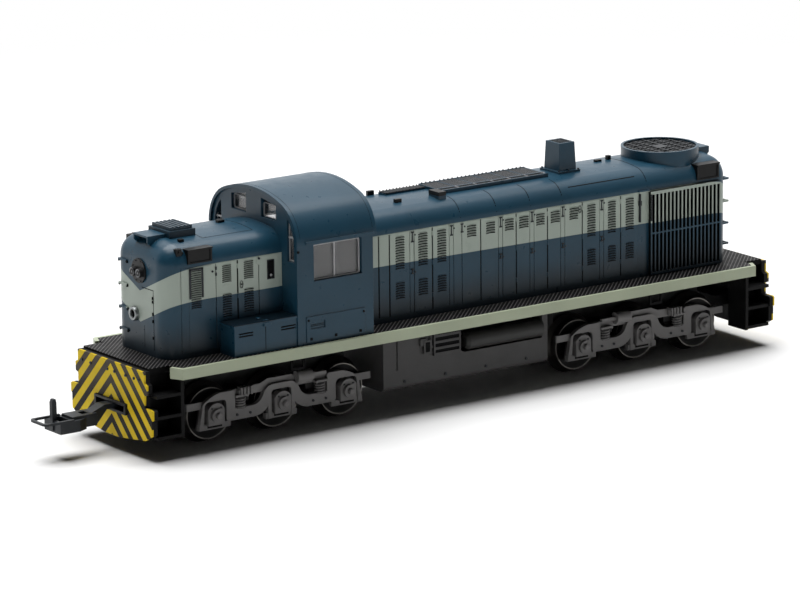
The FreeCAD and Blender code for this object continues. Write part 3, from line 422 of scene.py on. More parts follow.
NODE_MATERIAL = {
    "livery": ("short_hood", "long_hood"),
    "shutter": ("radiator_shutter_left", "radiator_shutter_right"),
    "teal": ("cab_shell", "cab_roof", "roof_hatch", "exhaust_stack", "fan_shroud"),
    "battery": ("battery_box_left", "battery_box_right"),
    "reservoir": ("air_reservoir_left", "air_reservoir_right"),
    "sill": ("sill_left", "sill_right"),
    "deck": ("walkway",),
    "pilot": ("pilot_front", "pilot_rear"),
    "tank": ("fuel_tank",),
    "black": ("coupler_pocket_front", "coupler_pocket_rear", "headlight_front", "headlight_rear"),
    "board": ("number_board_front_left", "number_board_front_right", "number_board_rear_left",
              "number_board_rear_right"),
    "iron_and_shade": ("fan_grille", "coupler_front"),
    "vent": ("nose_vent",),
    "truck": ("side_frame_front_left", "side_frame_front_right",
              "side_frame_rear_left", "side_frame_rear_right"),
    # painted shade: the trucks' own blocks are black, as they lie in shade under the deck
    "casting": ("underframe", "truck_front", "truck_rear"),
    "motor": ("motor_block",),
    "glass": ("cab_glazing",),
    "wheel": tuple("wheelset_%d" % number for number in range(1, 7)),
}
for key, names in NODE_MATERIAL.items():
    for name in names:
        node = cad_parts[name]
        if not node.material_slots:
            node.data.materials.append(MAT[key])
        for slot in node.material_slots:
            slot.link = "OBJECT"
            slot.material = MAT[key]


# ------------------------------------------------------------------------------ mesh building
CRISP = math.radians(40)
BOX_FACES = ((0, 1, 3, 2), (4, 6, 7, 5), (0, 4, 5, 1), (2, 3, 7, 6), (0, 2, 6, 4), (1, 5, 7, 3))


def circle(count, turn=0.0):
    """Cosine and sine of evenly spaced angles; turn is a share of one step."""
    angles = [2 * math.pi * (k + turn) / count for k in range(count)]
    return [(math.cos(angle), math.sin(angle)) for angle in angles]


def bands(rows, count):
    """Faces that join each ring of points to the next one."""
    faces = []
    for start in range(0, rows * count, count):
        for k in range(count):
            n = (k + 1) % count
            faces.append((start + k, start + n, start + count + n, start + count + k))
    return faces


def closed(rows, count):
    """Faces of a bar made of rings: its skin and both ends."""
    last = rows * count
    return bands(rows, count) + [tuple(reversed(range(count))), tuple(range(last, last + count))]


class Build:
    """Collects simple solids into one mesh; places are in millimetres."""

    def __init__(self):
        self.points, self.faces, self.marks = [], [], []

    def add(self, points, faces, mark=0):
        """Take in points and faces; mark is the place of their material in the list that make gets."""
        base = len(self.points)
        self.points += [place(*point) for point in points]
        self.faces += [tuple(base + index for index in face) for face in faces]
        self.marks += [mark] * len(faces)

    def box(self, x0, x1, y0, y1, z0, z1, mark=0):
        x0, x1 = min(x0, x1), max(x0, x1)
        y0, y1 = min(y0, y1), max(y0, y1)
        self.add([(x, y, z) for x in (x0, x1) for y in (y0, y1) for z in (z0, z1)], BOX_FACES, mark)

    def rod(self, start, end, radius, sides=16, mark=0, tip=None):
        """Round bar between two points; tip is the radius at its end."""
        a, b = Vector(start), Vector(end)
        along = (b - a).normalized()
        first = along.orthogonal().normalized()
        second = along.cross(first)
        tip = radius if tip is None else tip
        points = [tuple(a + (first * c + second * s) * radius) for c, s in circle(sides)]
        points += [tuple(b + (first * c + second * s) * tip) for c, s in circle(sides)]
        self.add(points, closed(1, sides), mark)

    def stud(self, x, y, z, side, height, radius, sides=10, mark=0):
        """Rod that stands out sideways from a face."""
        self.rod((x, y, z), (x, y + side * height, z), radius, sides, mark)

    def tube(self, path, radius, sides=8, mark=0):
        """Tube along a list of points."""
        path = [Vector(point) for point in path]
        points = []
        normal = None
        for index, point in enumerate(path):
            ahead = path[min(index + 1, len(path) - 1)] - path[max(index - 1, 0)]
            ahead.normalize()
            if normal is None:
                normal = ahead.orthogonal().normalized()
            normal = (normal - ahead * normal.dot(ahead)).normalized()
            other = ahead.cross(normal)
            points += [tuple(point + (normal * c + other * s) * radius) for c, s in circle(sides)]
        self.add(points, closed(len(path) - 1, sides), mark)

    def lathe(self, profile, wall, way, y, z, sides):
        """Skin turned round a line along x; each ring is a step out from the wall and a radius."""
        points = [(wall + way * out, y + radius * c, z + radius * s)
                  for out, radius in profile for c, s in circle(sides)]
        faces = bands(len(profile) - 1, sides)
        self.add(points, faces if way < 0 else [tuple(reversed(face)) for face in faces])

    def make(self, name, body, materials, slot, bevel=0.0, smooth=False):
        """Turn what was collected into one piece that rides on a body."""
        mesh = bpy.data.meshes.new(name)
        mesh.from_pydata([tuple(point) for point in self.points], [], self.faces)
        for material in materials:
            mesh.materials.append(MAT[material])
        mesh.polygons.foreach_set("material_index", self.marks)
        if smooth:
            mesh.polygons.foreach_set("use_smooth", [True] * len(self.faces))
        mesh.update()
        thing = bpy.data.objects.new(name, mesh)
        scene.collection.objects.link(thing)
        if bevel:
            soften = thing.modifiers.new("soft_edges", "BEVEL")
            soften.width = bevel * MM
            soften.segments = 2
            soften.limit_method = "ANGLE"
            soften.angle_limit = CRISP
        if smooth:
            # flat caps stay crisp
            thing.modifiers.new("crisp", "EDGE_SPLIT").split_angle = CRISP
        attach(thing, body)


# the hood's section: half its width, the top of its straight sides, the radius of its corners and
# the height of its roof, which is one wide arc from corner to corner
HALF = span("short_hood")[1][1]
SIDE_TOP, CORNER, TOP = 40.3, 4.6, 45.4
REACH, RISE = HALF - CORNER, TOP - SIDE_TOP
WIDE = (REACH ** 2 + RISE ** 2 - CORNER ** 2) / (2 * (RISE - CORNER))
# the wide arc meets the corner's arc here
MEET = REACH * WIDE / (WIDE - CORNER)


def roof_height(y):
    """Height of the hood's outer face over a distance from the centre plane."""
    y = abs(y)
    if y <= MEET:
        return TOP - WIDE + math.sqrt(WIDE ** 2 - y ** 2)
    return SIDE_TOP + math.sqrt(max(0.0, CORNER ** 2 - (y - REACH) ** 2))


def over_roof(build, x0, x1, y0, y1, lift=0.02, steps=12):
    """Strip sunk into the hood's roof, which it follows between two distances from the centre."""
    points = []
    for index in range(steps + 1):
        y = y0 + (y1 - y0) * index / steps
        points += [(x, y, roof_height(y) + height) for height in (-0.25, lift) for x in (x0, x1)]
    faces = []
    for a in range(0, 4 * steps, 4):
        b = a + 4
        faces += [(a + 2, b + 2, b + 3, a + 3), (a, a + 1, b + 1, b), (a, b, b + 2, a + 2),
                  (a + 1, a + 3, b + 3, b + 1)]
    faces += [(0, 2, 3, 1), (steps * 4, steps * 4 + 1, steps * 4 + 3, steps * 4 + 2)]
    build.add(points, faces)


# ------------------------------------------------------------------------------ hood doors
# vertical joints of the long hood's sides: x, width of the gap
LONG_JOINTS = (
    (22.5, 0.34), (19.6, 0.34), (14.1, 0.12), (12.9, 0.16), (7.9, 0.34), (3.3, 0.12), (2.1, 0.12),
    (-0.2, 0.16), (-5.4, 0.30), (-10.3, 0.12), (-11.5, 0.16), (-15.3, 0.32), (-19.1, 0.12), (-20.3, 0.12),
    (-24.1, 0.34), (-27.8, 0.12), (-29.0, 0.12), (-34.0, 0.30), (-38.9, 0.12), (-40.1, 0.12), (-45.0, 0.28),
)
SHORT_JOINTS = ((65.4, 0.16), (59.8, 0.40), (54.3, 0.18))
# louvres of the hoods: x of the rear and front ends, z of the lower and upper ends, slats; the long
# hood's tall groups have a short group under them
TALL = ((15.5, 18.0), (9.2, 11.8), (4.1, 6.6), (-37.8, -35.4), (-43.6, -41.3), (-48.8, -46.4))
SMALL = ((-4.2, -1.6), (-9.4, -6.9), (-14.6, -12.1), (-18.8, -16.1), (-23.3, -20.9), (-27.6, -25.0),
         (-32.8, -30.3))
LOUVRES = [(*ends, *rest) for group, rest in ((TALL, (31.4, 39.0, 13)), (TALL, (24.7, 28.6, 7)),
                                              (SMALL, (36.0, 38.9, 5))) for ends in group]
LOUVRES += [(69.2, 71.8, 30.5, 39.1, 18), (61.4, 63.8, 35.2, 39.2, 9), (61.4, 63.8, 27.5, 32.8, 10),
            (55.7, 58.2, 35.2, 39.3, 9), (55.7, 58.2, 27.9, 33.2, 10)]
# the door panels: how far they stand proud, and their lower and upper edges
PLATE = 0.13
DOOR_FOOT, DOOR_TOP = 21.3, 39.85
# outer face of the doors, and the face behind them, just inside the hood's skin
FACE, INNER = HALF + PLATE, HALF - 0.02
# points along one edge of a louvre's arched slat
SLAT_POINTS = 13


def plates(build, joints, start, end, side):
    """Door panels between the joints, standing a little proud so that the joints are real grooves."""
    edges = [(start, 0.0)] + sorted(joints) + [(end, 0.0)]
    inner, outer, floor = side * INNER, side * FACE, side * (HALF + 0.012)
    for (a, gap_a), (b, gap_b) in zip(edges, edges[1:]):
        build.box(a + gap_a / 2, b - gap_b / 2, inner, outer, DOOR_FOOT, DOOR_TOP)
        # the dark floor of the groove
        if gap_b:
            build.box(b - gap_b / 2, b + gap_b / 2, inner, floor, DOOR_FOOT, DOOR_TOP, 1)


def louvre(build, x0, x1, z0, z1, count, side):
    """Openings painted dark as shade, each under a slat with rounded ends that is pressed outwards."""
    # heights are shares of the step from slat to slat
    step = (z1 - z0) / count
    y = side * FACE
    # the slat and its opening are arched a little
    shares = [k / (SLAT_POINTS - 1) for k in range(SLAT_POINTS)]
    arc = [(x0 + (x1 - x0) * share, 0.16 * (1 - (2 * share - 1) ** 2) * step) for share in shares]
    for index in range(count):
        top = z1 - index * step
        low = top - step * 0.54
        # the opening: a long shape with rounded ends, painted dark as shade
        dark = [(x, y + side * 0.016, low + arch) for x, arch in arc]
        dark += [(x, y + side * 0.016, low + arch + step * (0.56 if x0 < x < x1 else 0.28))
                 for x, arch in reversed(arc)]
        outline = tuple(range(2 * SLAT_POINTS))
        build.add(dark, [outline if side < 0 else outline[::-1]], 1)
        # the slat's lip above the opening
        points, faces = [], []
        for x, arch in arc:
            edge = min(1.0, 6.0 * min(x - x0, x1 - x) / (x1 - x0))
            lip = y + side * (0.02 + 0.17 * edge)
            points += [(x, y, top + arch + step * 0.04), (x, lip, low + arch + step * 0.62),
                       (x, lip, low + arch + step * 0.50), (x, y, low + arch + step * 0.50)]
        for a in range(0, 4 * (SLAT_POINTS - 1), 4):
            b = a + 4
            faces += [(a, b, b + 1, a + 1), (a + 1, b + 1, b + 2, a + 2), (a + 2, b + 2, b + 3, a + 3)]
        build.add(points, [face[::-1] for face in faces] if side > 0 else faces)


doors, slats = Build(), Build()
# the last panel ends at the start of the nose's rounded corner, and its skin runs out into that
CORNER_START, CORNER_END = 72.4, 74.4
for side in SIDES:
    plates(doors, LONG_JOINTS, -50.0, 27.7, side)
    plates(doors, SHORT_JOINTS, 49.0, CORNER_START, side)
    doors.add([(x, side * y, z) for z in (DOOR_FOOT, DOOR_TOP)
               for x, y in ((CORNER_START, INNER), (CORNER_END, INNER), (CORNER_START, FACE))],
              [(0, 1, 2), (3, 5, 4), (1, 4, 5, 2), (0, 3, 4, 1), (0, 2, 5, 3)])
    for group in LOUVRES:
        louvre(slats, *group, side)
doors.make("hood_doors", "chassis", ["livery", "slot"], bevel=0.04, slot="body_blue")
slats.make("hood_louvres", "chassis", ["livery", "slot"], slot="body_blue")

# ------------------------------------------------------------------------------ latches and hinges
# double latches on the long hood's seams: x, z of the lower and upper ends of the bar
LATCHES = [(x, 37.3, 39.7) for x in (13.4, 2.7, -10.9, -19.7, -28.4, -39.5)] + [(-0.2, 37.6, 39.7)]
LATCHES += [(x, 30.1, 31.3) for x in (13.4, -10.9, -19.7, -28.4, -39.5)]
# hinge knuckles of the wide joints: x and z of their middles
HINGES = [(x, z) for x in (7.9, -15.3, -24.1, -34.0, -45.0, 59.8) for z in (38.6, 32.0, 24.6)]
# oval handles round a lock: x and z of their middles
HANDLES = ((58.9, 34.4), (-33.2, 38.4))
hardware = Build()
for side in SIDES:
    y = side * FACE
    # painted shade: the latch bars are dark, as shade falls round them
    for x, z0, z1 in LATCHES:
        hardware.box(x - 0.11, x + 0.11, y, y + side * 0.16, z0, z1)
        for z in (z0 + 0.15, z1 - 0.15):
            hardware.box(x - 0.34, x + 0.34, y, y + side * 0.24, z - 0.14, z + 0.14)
        hardware.stud(x - 0.75, y, z1 - 0.8, side, 0.12, 0.2)
    for x, z in HINGES:
        hardware.rod((x, y + side * 0.02, z - 0.5), (x, y + side * 0.02, z + 0.5), 0.17, 10, mark=1)
    # hinges and latch of the joint at the nose, and the round latch by the cab
    for z in (38.9, 37.6):
        hardware.box(65.25, 65.6, y, y + side * 0.22, z - 0.35, z + 0.35)
    hardware.stud(66.3, y, 38.3, side, 0.14, 0.26, 12)
    hardware.stud(54.3, y, 38.8, side, 0.14, 0.72, 24, mark=1)
    hardware.stud(54.3, y, 39.5, side, 0.3, 0.26, 12)
    for x, z in HANDLES:
        oval = [(x + 0.38 * c, y + side * 0.14, z + 0.8 * s) for c, s in circle(20)]
        hardware.tube(oval + oval[:1], 0.07, 6)
        hardware.stud(x, y, z, side, 0.2, 0.16)
    # door handles of the last bay and the tall black bar before the shutters
    hardware.box(-50.7, -50.35, side * 10.4, side * 11.05, 33.0, 39.6)
    hardware.box(-50.85, -50.2, side * 10.4, side * 11.15, 36.9, 38.0)
    hardware.box(-53.5, -53.2, side * 11.3, side * 11.62, 33.0, 39.2)
hardware.make("hood_latches", "chassis", ["iron_and_shade", "livery"], bevel=0.03, slot="body_blue")

frames = Build()
for side in SIDES:
    y = side * FACE
    # dark frame round the tall louvre of the short hood
    for x0, x1, z0, z1 in ((68.7, 69.15, 33.0, 39.6), (71.85, 72.3, 33.0, 39.6), (68.7, 72.3, 39.2, 39.6)):
        frames.box(x0, x1, y, y + side * 0.2, z0, z1)
    # small window beside the cab: a dark pane with a pale round spot
    frames.box(50.5, 51.95, y, y + side * 0.08, 34.7, 38.6, 1)
    for x0, x1, z0, z1 in ((50.3, 50.5, 34.5, 38.8), (51.95, 52.15, 34.5, 38.8), (50.3, 52.15, 38.6, 38.8),
                           (50.3, 52.15, 34.5, 34.7)):
        frames.box(x0, x1, y, y + side * 0.18, z0, z1)
    frames.stud(51.2, y, 35.4, side, 0.22, 0.28, 12, mark=2)
frames.make("hood_frames", "chassis", ["iron_and_shade", "slot", "frame"], bevel=0.03, slot="body_blue")

# ------------------------------------------------------------------------------ ends of the hoods
ends = Build()
# seams of the doors in the end walls: y of the two edges, z of the two ends
SEAMS = ((5.2, 5.38, 21.5, 34.8), (0.8, 5.38, 34.62, 34.8), (1.5, 1.62, 21.5, 26.4))
for way, wall in WALLS:
    for y0, y1, z0, z1 in SEAMS:
        ends.box(wall - way * 0.2, wall + way * 0.03, way * y0, way * y1, z0, z1)
    # hinges along the long seam
    for z in (33.0, 32.2, 29.5, 27.9, 24.2):
        ends.rod((wall, 5.1 * way, z - 0.3), (wall, 5.1 * way, z + 0.3), 0.26, 10)
    # heads of the grab bars' bolts
    for z in (39.3, 34.0, 28.8, 24.0):
        for y in (4.9, 8.0):
            ends.rod((wall, -y * way, z), (wall + way * 0.2, -y * way, z), 0.36, 14)
ends.make("end_doors", "chassis", ["slot"], bevel=0.02, slot="body_blue")

# ring fitting on the nose: steps out from the wall and radii
RING_PROFILE = ((0.0, 1.6), (0.5, 1.6), (0.85, 1.42), (0.9, 1.2), (0.8, 0.95), (0.5, 0.86), (0.1, 0.84))
RING_Y, RING_Z = -2.0, 28.4
ring = Build()
ring.lathe(RING_PROFILE, FRONT_WALL, 1, RING_Y, RING_Z, 40)
ring.rod((FRONT_WALL - 0.1, RING_Y, RING_Z), (FRONT_WALL + 0.15, RING_Y, RING_Z), 0.85, 24, mark=1)
ring.make("nose_ring", "chassis", ["ring", "slot"], smooth=True, slot="black_trim")

# lamps: a silver bowl with its bulb in each dark ring, and a circle of bolts on their plate
BOWL_PROFILE = ((0.08, 0.92), (0.16, 0.86), (-0.06, 0.60), (-0.14, 0.30), (-0.12, 0.28), (0.08, 0.22),
                (0.14, 0.0))
LAMP_Y, LAMP_Z = 1.2, 38.0
PLATE_Z, PLATE_BOLTS = middle("headlight_front").z / MM, 2.3
lamps = Build()
for way, wall in ((1, FRONT_LAMP), (-1, REAR_LAMP)):
    for y in (-LAMP_Y, LAMP_Y):
        lamps.lathe(BOWL_PROFILE, wall, way, y, LAMP_Z, 24)
    plate = wall - way * 0.85
    for c, s in circle(8, 0.5):
        spot = (PLATE_BOLTS * c, PLATE_Z + PLATE_BOLTS * s)
        lamps.rod((plate, *spot), (plate + way * 0.16, *spot), 0.17, 8, mark=1)
lamps.make("lamp_bowls", "chassis", ["silver", "iron_and_shade"], smooth=True, slot="black_trim")

# ------------------------------------------------------------------------------ cab
def ring_frame(build, loop, normal, depth, width, mark=0):
    """Flat frame along a closed loop of points, facing along a normal."""
    normal = Vector(normal)
    points = [Vector(point) for point in loop]
    centre = sum(points, Vector()) / len(points)
    inner = [point + (centre - point).normalized() * width for point in points]
    count = len(points)
    rows = [points, [p + normal * depth for p in points], [p + normal * depth for p in inner], inner]
    flat = [tuple(p) for row in rows for p in row]
    build.add(flat, bands(3, count), mark)


def rounded(a0, a1, b0, b1, radius, steps=5):
    """Corner-rounded rectangle as pairs of numbers."""
    loop = []
    for ca, cb, start in ((a1 - radius, b1 - radius, 0), (a0 + radius, b1 - radius, 90),
                          (a0 + radius, b0 + radius, 180), (a1 - radius, b0 + radius, 270)):
        for k in range(steps + 1):
            angle = math.radians(start + 90 * k / steps)
            loop.append((ca + radius * math.cos(angle), cb + radius * math.sin(angle)))
    return loop


CAB_REAR, CAB_FRONT = span("cab_shell")[0]
CAB_SIDE = span("cab_shell")[1][1]
# half of a tall window in the cab's end walls, from its foot round its outer corner: y and z
TALL_WINDOW = ((12.85, 38.4), (15.3, 38.4), (15.3, 45.2), (14.9, 46.2), (14.2, 47.0), (13.2, 47.7),
               (12.85, 47.7))
trim = Build()
for side in SIDES:
    pane = side * 15.62
    wide = rounded(31.2, 43.7, 34.0, 41.9, 0.5)
    ring_frame(trim, [(x, pane, z) for x, z in wide], (0, side, 0), 0.22, 0.42)
    trim.box(37.7, 38.05, pane - side * 0.1, pane + side * 0.16, 34.2, 41.8)
    for way, wall in ((1, CAB_FRONT), (-1, CAB_REAR)):
        # the tall window with the bar of its latch, and the small one over the hood
        x = wall - way * 0.8
        ring_frame(trim, [(x, side * y, z) for y, z in TALL_WINDOW], (way, 0, 0), 0.3, 0.3)
        trim.box(wall - way * 0.75, wall - way * 0.35, side * 12.9, side * 15.2, 43.5, 43.95)
        small = rounded(*sorted((side * 3.05, side * 8.55)), 46.6, 49.8, 0.5)
        ring_frame(trim, [(x, y, z) for y, z in small], (way, 0, 0), 0.25, 0.3)
trim.make("window_trim", "chassis", ["frame"], bevel=0.04, slot="clear_glazing")

# face of the battery boxes under their lids
LOCKER = 16.2
dark = Build()
for side in SIDES:
    # bolts, foot blocks, a pair of thin slots and a round lamp on the cab's side
    y = side * CAB_SIDE
    for x in (45.5, 30.9):
        dark.rod((x, y - side * 0.1, 25.4), (x, y + side * 0.14, 25.4), 0.26, 12)
    for x in (44.8, 38.3, 31.8):
        dark.box(x - 0.3, x + 0.3, y - side * 0.1, y + side * 0.1, 20.9, 21.5)
    for z in (24.0, 24.3):
        dark.box(41.2, 44.9, side * 16.5, side * 16.54, z - 0.05, z + 0.05)
    dark.rod((47.9, side * 16.4, 40.9), (47.9, side * 16.75, 40.9), 0.28, 12)
    # slots in the doors of the battery box, and the seam between them
    near, far = side * (LOCKER - 0.02), side * (LOCKER + 0.035)
    for x0, x1 in ((48.9, 52.4), (59.7, 63.2)):
        for z in (24.3, 24.9):
            dark.box(x0, x1, near, far, z - 0.13, z + 0.13)
    dark.box(56.35, 56.5, near, far, 20.6, 26.4)
dark.make("cab_fittings", "chassis", ["slot"], bevel=0.02, slot="body_blue")

# a round filler and a handle on each battery box's lid
pale = Build()
for side in SIDES:
    pale.rod((56.6, side * 13.6, 26.8), (56.6, side * 13.6, 27.15), 0.5, 16)
    pale.box(55.6, 57.0, side * 15.7, side * 16.0, 26.85, 27.12)
pale.make("box_handles", "chassis", ["teal"], bevel=0.05, slot="body_blue")

# ------------------------------------------------------------------------------ roof
def outer_skin(node, x, angle, centre=42.2):
    """Point just under a node's outer face, seen from the middle at an angle from the horizontal."""
    across, rise = math.cos(math.radians(angle)), math.sin(math.radians(angle))
    way = Vector((0, across, rise))
    spot = node.ray_cast(place(x, across * 40, centre + rise * 40), -way)[1]
    return (x, spot.y / MM - across * 0.11, spot.z / MM - rise * 0.11)


groove = Build()
for x in (CAB_FRONT - 0.5, CAB_REAR + 0.5):
    groove.tube([outer_skin(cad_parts["cab_roof"], x, angle) for angle in range(6, 175, 3)], 0.13)
groove.make("cab_roof_groove", "chassis", ["slot"], slot="body_blue")

# joints of the roof: across it beside the roof walk, and right across behind the walk
BESIDE, EDGE = 5.45, 10.55
LAST_JOINT = -52.8
lines = Build()
for x in (0.0, -10.0, -19.5, -28.5, LAST_JOINT):
    for side in SIDES:
        over_roof(lines, x - 0.09, x + 0.09, side * BESIDE, side * EDGE, steps=14)
over_roof(lines, LAST_JOINT - 0.09, LAST_JOINT + 0.09, -BESIDE, BESIDE, steps=10)
# joints along the roof, which on the short hood are the sides of a hatch
HATCH_REAR, HATCH_FRONT, HATCH_SIDE = 53.0, 66.0, 6.5
for side in SIDES:
    for x0, x1, y in ((-50.0, -31.0, 9.3), (HATCH_REAR, HATCH_FRONT, HATCH_SIDE)):
        over_roof(lines, x0, x1, side * (y - 0.08), side * (y + 0.08), steps=1)
for x in (HATCH_REAR, HATCH_FRONT):
    over_roof(lines, x - 0.08, x + 0.08, -HATCH_SIDE, HATCH_SIDE)
# a small dark block beside the nose vent
over_roof(lines, 70.9, 72.1, 6.1, 6.9, 0.5, steps=4)
lines.make("roof_joints", "chassis", ["slot"], slot="body_blue")

# roof walk: x of the panels' rear and front ends, and the height that all of it rises from
PANELS = ((-4.8, -0.2), (-9.8, -5.2), (-14.6, -10.2), (-19.3, -15.0), (-24.1, -19.7), (-29.0, -24.5))
WALK = 45.6
walk = Build()
for x0, x1 in PANELS:
    # pale woven field on the far side, dark slotted panel on the near side, level with the rails
    walk.box(x0 + 0.1, x1 - 0.1, -4.9, 1.45, WALK, 45.92, 1)
    for index in range(9):
        x = x0 + (x1 - x0) * (index + 0.5) / 9
        walk.box(x - 0.1, x + 0.1, -4.95, 1.5, WALK, 46.0)
    for index in range(11):
        y = -4.75 + index * 0.6
        walk.box(x0, x1, y - 0.1, y + 0.1, WALK, 45.98)
    walk.box(x0 + 0.12, x1 - 0.12, 1.9, 3.38, WALK, 46.0, 2)
    walk.box(x0 - 0.16, x0 + 0.04, 1.85, 3.42, WALK, 46.08, 1)
    # studs along the rails
    for index in range(4):
        x = x0 + (x1 - x0) * (index + 0.5) / 4
        walk.rod((x, -5.2, 46.0), (x, -5.2, 46.25), 0.16, 8)
# the lower woven field ahead of the panels, with studs on every other wire
walk.box(0.3, 11.0, -5.1, -2.5, WALK, 45.72, 1)
for index in range(24):
    x = 0.35 + index * 0.46
    walk.box(x - 0.09, x + 0.09, -5.15, -2.45, WALK, 45.82)
    if index % 2:
        walk.rod((x, -2.5, WALK), (x, -2.5, 45.95), 0.15, 8)
        walk.rod((x, -5.0, WALK), (x, -5.0, 46.0), 0.15, 8)
for index in range(6):
    walk.box(0.2, 11.1, -5.05 + index * 0.5, -4.9 + index * 0.5, WALK, 45.8)
walk.make("roof_mesh", "chassis", ["iron_and_shade", "mesh", "slot"], slot="black_trim")

# dark caps over the small roof fittings: x, y of the middle, length, width, top
FITTINGS = (
    (12.8, -6.1, 1.6, 0.8, 46.0), (12.7, 4.3, 1.6, 0.8, 45.9), (-48.2, -1.95, 1.6, 0.9, 45.8),
    (-51.55, -2.35, 0.9, 0.9, 46.3), (2.3, 5.0, 2.0, 3.8, 46.5), (55.45, -2.4, 1.5, 1.2, 45.9),
)
CAP = 0.04
caps = Build()
for x, y, long, wide, top in FITTINGS:
    half_x, half_y = long / 2 + CAP, wide / 2 + CAP
    caps.box(x - half_x, x + half_x, y - half_y, y + half_y, top - 0.9, top + CAP)
for side in SIDES:
    caps.box(73.5, 74.9, side * 8.8, side * 10.0, 42.6, 44.14)
    caps.rod((74.2, side * 10.0, 43.4), (74.2, side * 10.25, 43.4), 0.3, 12)
    caps.rod((73.3, side * 9.6, 43.2), (73.3, side * 9.95, 43.2), 0.26, 12)
caps.make("fitting_caps", "chassis", ["board"], bevel=0.06, slot="black_trim")

# bolts round the stack's foot and a slotted lid on its top
STACK = middle("exhaust_stack").x / MM - X0
stack = Build()
for x in (STACK - 2.75, STACK, STACK + 2.75):
    for y in (-3.15, 3.15):
        stack.rod((x, y, 45.5), (x, y, 46.0), 0.24, 10)
for index in range(-2, 3):
    x = STACK + index * 0.8
    stack.box(x - 0.12, x + 0.12, -2.0, 2.0, 52.0, 52.16)
stack.make("stack_bolts", "chassis", ["iron_and_shade"], slot="body_blue")

# ------------------------------------------------------------------------------ fan
FAN = middle("fan_grille").x / MM - X0
# inside radius of the ring round the fan
FAN_REACH = 8.3
fan = Build()
hub = Vector((FAN, 0, 45.75))
for c, s in circle(10):
    along, across = Vector((c, s, 0)), Vector((-s, c, 0))
    points = []
    for radius, half, lift in ((1.6, 0.7, 0.25), (7.9, 1.5, 0.12)):
        for way in (-1, 1):
            points += [tuple(hub + along * radius + across * half * way + Vector((0, 0, lift * way + skin)))
                       for skin in (0.1, -0.02)]
    fan.add(points, [(0, 2, 6, 4), (1, 5, 7, 3), (0, 4, 5, 1), (2, 3, 7, 6), (0, 1, 3, 2), (4, 6, 7, 5)])
# painted shade: a black disc under the blades fills the ring
fan.rod((FAN, 0, 45.5), (FAN, 0, 45.62), FAN_REACH, 48, mark=1)
fan.make("fan_blades", "chassis", ["casting", "slot"], slot="black_trim")

# thin wires between the bars of the grille
wires = Build()
for index in range(-6, 7, 2):
    offset = index * 1.3
    reach = math.sqrt(FAN_REACH ** 2 - offset ** 2)
    wires.box(FAN - reach, FAN + reach, offset - 0.09, offset + 0.09, 46.9, 47.15)
    wires.box(FAN + offset - 0.09, FAN + offset + 0.09, -reach, reach, 46.9, 47.15)
wires.make("fan_wires", "chassis", ["iron_and_shade"], slot="black_trim")

# painted shade: a black sheet behind the slats of the shutters
shade_sheet = Build()
for side in SIDES:
    shade_sheet.box(-73.4, -53.6, side * (HALF - 0.01), side * (HALF + 0.05), 20.6, 39.4)
shade_sheet.make("painted_shade_backing", "chassis", ["slot"], slot="body_blue")

# ------------------------------------------------------------------------------ pilots and tank
# the tank's side under its top flange
TANK = 13.9
bolts = Build()
for way in SIDES:
    wall = way * PILOT_FACE
    for y in (-11.5, -8.0, -1.2, 1.6, 6.0, 9.3, 11.2):
        bolts.rod((wall - way * 0.05, y, 17.4), (wall + way * 0.22, y, 17.4), 0.32, 12)
for side in SIDES:
    y = side * TANK
    for x in (18.2, 7.0, -4.2, -15.5):
        bolts.stud(x, y, 7.0, side, 0.32, 0.34, 12)
    # slatted cover, with painted shade behind its slats, and small bracket under the sill
    bolts.box(3.3, 10.3, y, y + side * 0.5, 11.9, 17.2, 1)
    for z in (11.7, 13.0, 14.4, 15.8):
        bolts.box(3.1, 10.5, y, y + side * 0.65, z, z + 0.6, 2)
    for x in (3.1, 10.1):
        bolts.box(x, x + 0.4, y, y + side * 0.7, 11.7, 17.2, 2)
    bolts.box(11.2, 13.2, y, y + side * 0.72, 12.4, 15.6, 2)
    bolts.box(11.6, 12.8, y + side * 0.3, y + side * 0.76, 12.9, 15.1, 1)
bolts.make("pilot_and_tank_bolts", "chassis", ["iron_and_shade", "slot", "tank"], slot="black_trim")

# copper strips over the trucks
strips = Build()
for end in SIDES:
    for side in SIDES:
        for along in (-14.0, -2.0, 8.5):
            x = end * TRUCK + along
            strips.box(x - 1.6, x + 1.6, side * 6.0, side * 6.4, 15.9, 17.2)
strips.make("contact_strips", "chassis", ["copper"], bevel=0.05, slot="frame_metal")

